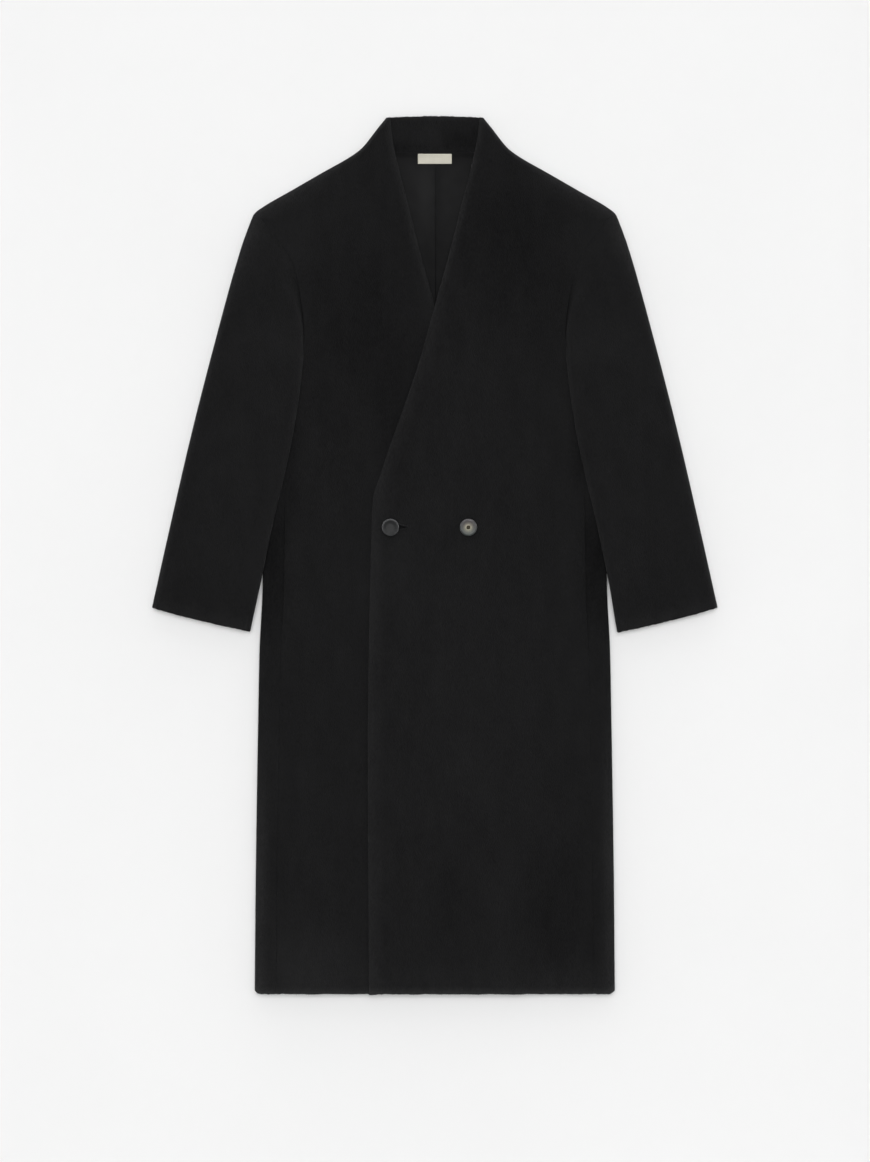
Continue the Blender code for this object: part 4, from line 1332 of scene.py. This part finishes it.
def new_finish(name, **constants):
    """New material: its tree, its shader with the given even values, and the places on the piece."""
    material = bpy.data.materials.new(name)
    material.use_nodes = True
    tree = material.node_tree
    shader = tree.nodes["Principled BSDF"]
    for title, value in constants.items():
        shader.inputs[title.replace("_", " ")].default_value = value
    return material, tree, shader, add_node(tree, "ShaderNodeTexCoord").outputs["Object"]


def use_group(tree, group, **sockets):
    """Group node in a material with its own values."""
    return add_node(tree, "ShaderNodeGroup", sockets, node_tree=group)


def carried(tree, title):
    """Value that the points of a piece carry."""
    return add_node(tree, "ShaderNodeAttribute", attribute_name=title).outputs["Fac"]


def finish_surface(tree, shader, colour, height, rough, strength, depth):
    """Link a colour, a roughness between two values by height, and a bump of some depth."""
    low, high = rough
    sockets = {"Value": height, "To Min": low, "To Max": high}
    relief = {"Strength": strength, "Distance": depth * MM, "Height": height}
    bump = add_node(tree, "ShaderNodeBump", relief)
    tree.links.new(colour, shader.inputs["Base Color"])
    tree.links.new(add_node(tree, "ShaderNodeMapRange", sockets).outputs[0], shader.inputs["Roughness"])
    tree.links.new(bump.outputs[0], shader.inputs["Normal"])


def wool_finish(nap):
    """Black brushed wool: darker in the roots, with patches of painted shade and tone, and a painted sheen
    along its edges.
    """
    material, tree, shader, place = new_finish(
        "wool_shell_nap", Specular_IOR_Level=0.0, Sheen_Weight=WOOL_SHEEN, Sheen_Roughness=0.35,
    )
    fleece = use_group(tree, nap, Place=place, Fibres=850.0, Fuzz=900.0)
    # Patches of painted shade and tone, and the painted sheen along the edges
    lay, edge = carried(tree, "patch_tone_and_shade"), carried(tree, "painted_edge_sheen")
    shade = calculate(tree, "MULTIPLY_ADD", lay, PATCH_SHADE_SHARE, fleece.outputs["Tone"])
    plain = mix_colour(tree, shade, WOOL_DARK, WOOL_LIGHT)
    painted_sheen = calculate(tree, "MULTIPLY", edge, fleece.outputs["Tone"])
    colour = mix_colour(tree, painted_sheen, plain, WOOL_PAINTED_SHEEN)
    height = fleece.outputs["Height"]
    finish_surface(tree, shader, colour, height, rough=(1.0, 0.85), strength=0.7, depth=NAP_DEPTH)
    return material


def woven_finish(name, weave, cloth, colours, laid=False):
    """Woven or twisted threads between two colours; a laid cloth also gets its patches of painted sheen and
    shade.
    """
    material, tree, shader, place = new_finish(name, Specular_IOR_Level=cloth.shine)
    threads = use_group(tree, weave, Place=place, Warp=cloth.warp, Weft=cloth.weft)
    shade = threads.outputs["Tone"]
    # The satin's patches are painted sheen and shade
    if laid:
        shade = calculate(tree, "MULTIPLY_ADD", carried(tree, "patch_tone_and_shade"), PATCH_SHADE_SHARE, shade)
    colour = mix_colour(tree, shade, *colours)
    height = threads.outputs["Height"]
    finish_surface(tree, shader, colour, height, cloth.rough, cloth.strength, cloth.depth)
    return material


def button_finish(name, horn, x, colours, tints, shine):
    """Horn-like resin: colours from the middle outwards, broken up by streaks and tinted up its face."""
    material, tree, shader, place = new_finish(name, Specular_IOR_Level=shine)
    grain = use_group(tree, horn, Place=place, Streaks=260.0)
    centre = (-x * MM, -BUTTON_Y * MM, -BUTTON_TOP * MM)
    moved = add_node(tree, "ShaderNodeMapping", {"Vector": place, "Location": centre}).outputs[0]
    way = add_node(tree, "ShaderNodeVectorMath", {0: moved}, operation="LENGTH").outputs["Value"]
    part = calculate(tree, "DIVIDE", way, BUTTON_RADIUS * MM)
    start = calculate(tree, "SUBTRACT", part, STREAK_SHARE / 2)
    wavy = calculate(tree, "MULTIPLY_ADD", grain.outputs["Tone"], STREAK_SHARE, start)
    ramp = add_node(tree, "ShaderNodeValToRGB", {0: wavy})
    while len(ramp.color_ramp.elements) < len(colours):
        ramp.color_ramp.elements.new(0.5)
    for element, (position, colour) in zip(ramp.color_ramp.elements, colours):
        element.position = position
        element.color = (*colour, 1)
    height = add_node(tree, "ShaderNodeSeparateXYZ", {0: moved}).outputs["Y"]
    upper = calculate(tree, "MULTIPLY_ADD", height, 0.5 / (BUTTON_RADIUS * MM), 0.5)
    tint = mix_colour(tree, upper, *tints)
    sockets = {0: 1.0, 6: ramp.outputs[0], 7: tint}
    tinted = add_node(tree, "ShaderNodeMix", sockets, data_type="RGBA", blend_type="MULTIPLY").outputs[2]
    scratched = grain.outputs["Height"]
    finish_surface(tree, shader, tinted, scratched, rough=(0.28, 0.42), strength=0.1, depth=0.15)
    return material


# The scene round the coat

def add_floor():
    """Plain pale floor, a square just under the coat."""
    material, tree, shader, place = new_finish("pale_floor", Specular_IOR_Level=0.0)
    colour = mix_colour(tree, noise(tree, place, scale=3.0, detail=2.0), *FLOOR_COLOURS)
    grain = noise(tree, place, scale=400.0, detail=2.0)
    finish_surface(tree, shader, colour, grain, rough=(0.9, 1.0), strength=0.02, depth=0.1)
    half = FLOOR_SIZE / 2
    mesh = bpy.data.meshes.new("floor")
    place = np.array(((-half, -half), (half, -half), (half, half), (-half, half))) * MM
    mesh.from_pydata([(x, y, -FLOOR_GAP * MM) for x, y in place], [], [(0, 1, 2, 3)])
    mesh.materials.append(material)
    floor = bpy.data.objects.new("floor", mesh)
    bpy.context.collection.objects.link(floor)


def add_light():
    """Pale surroundings that brighten towards the horizon beyond the collar, and a broad lamp there too."""
    scene = bpy.context.scene
    scene.view_settings.view_transform = "Standard"
    world = bpy.data.worlds.new("studio")
    world.use_nodes = True
    scene.world = world
    tree = world.node_tree
    way = add_node(tree, "ShaderNodeTexCoord").outputs["Generated"]
    along = add_node(tree, "ShaderNodeSeparateXYZ", {0: way}).outputs
    low = calculate(tree, "EXPONENT", calculate(tree, "MULTIPLY", along["Z"], -1 / HORIZON_HEIGHT), 0.0)
    beyond = calculate(tree, "MULTIPLY_ADD", along["Y"], 0.5, 0.5)
    glow = calculate(tree, "MULTIPLY", low, beyond)
    strength = calculate(tree, "MULTIPLY_ADD", glow, WORLD_STRENGTH * HORIZON_GAIN, WORLD_STRENGTH)
    background = tree.nodes["Background"]
    background.inputs["Color"].default_value = (1, 1, 1, 1)
    tree.links.new(strength, background.inputs["Strength"])
    lamp = bpy.data.lights.new("soft_lamp", "SUN")
    lamp.energy = LAMP_STRENGTH
    lamp.angle = np.radians(LAMP_WIDTH)
    holder = bpy.data.objects.new("soft_lamp", lamp)
    holder.rotation_euler = np.radians((-LAMP_TILT, 0, 0))
    bpy.context.collection.objects.link(holder)


def add_camera():
    """Camera straight above, with the photograph's frame on the surface that the coat lies on."""
    data = bpy.data.cameras.new("camera")
    data.sensor_width = SENSOR
    data.lens = SENSOR * CAMERA_ABOVE / VIEW_HEIGHT
    data.clip_end = CAMERA_REACH * MM
    camera = bpy.data.objects.new("camera", data)
    camera.location = (VIEW_CENTRE[0] * MM, VIEW_CENTRE[1] * MM, CAMERA_ABOVE * MM)
    bpy.context.collection.objects.link(camera)
    bpy.context.scene.camera = camera


def dress_coat():
    """Make every piece of the coat with its finish."""
    nap, weave, horn = nap_group(), weave_group(), horn_group()
    wool = wool_finish(nap), "wool_shell"
    make_back(wool)
    make_neck_facing(wool)
    satin = woven_finish("lining_satin_weave", weave, SATIN, SATIN_COLOURS, laid=True)
    make_back_lining((satin, "lining_satin"))
    make_label((woven_finish("label_tape_weave", weave, TAPE, TAPE_COLOURS), "label_cloth"))
    make_front(-1, "front_right", wool)
    make_front(1, "front_left", wool)
    for side, name, creases in ((-1, "right", RIGHT_SLEEVE_CREASES), (1, "left", LEFT_SLEEVE_CREASES)):
        make_under_sleeve(side, f"sleeve_{name}_under", wool)
        make_upper_sleeve(side, f"sleeve_{name}_upper", creases, wool)
    holes = [(x * HOLE_OFFSET, y * HOLE_OFFSET) for x in (-1, 1) for y in (-1, 1)]
    dark = button_finish("button_dark_resin", horn, FASTENED_X, DARK_COLOURS, PLAIN_TINTS, shine=0.2)
    pale = button_finish("button_horn_resin", horn, OUTER_X, HORN_COLOURS, HORN_TINTS, shine=0.3)
    add_button("button_fastened", FASTENED_X, [], dark)
    add_button("button_outer", OUTER_X, holes, pale)
    make_buttonhole_stitches(woven_finish("black_thread", weave, THREAD, BLACK_THREAD))
    make_button_threads(woven_finish("olive_thread", weave, THREAD, OLIVE_THREAD))
    make_label_stitches(woven_finish("cream_thread", weave, THREAD, CREAM_THREAD))


add_camera()
add_floor()
add_light()
dress_coat()
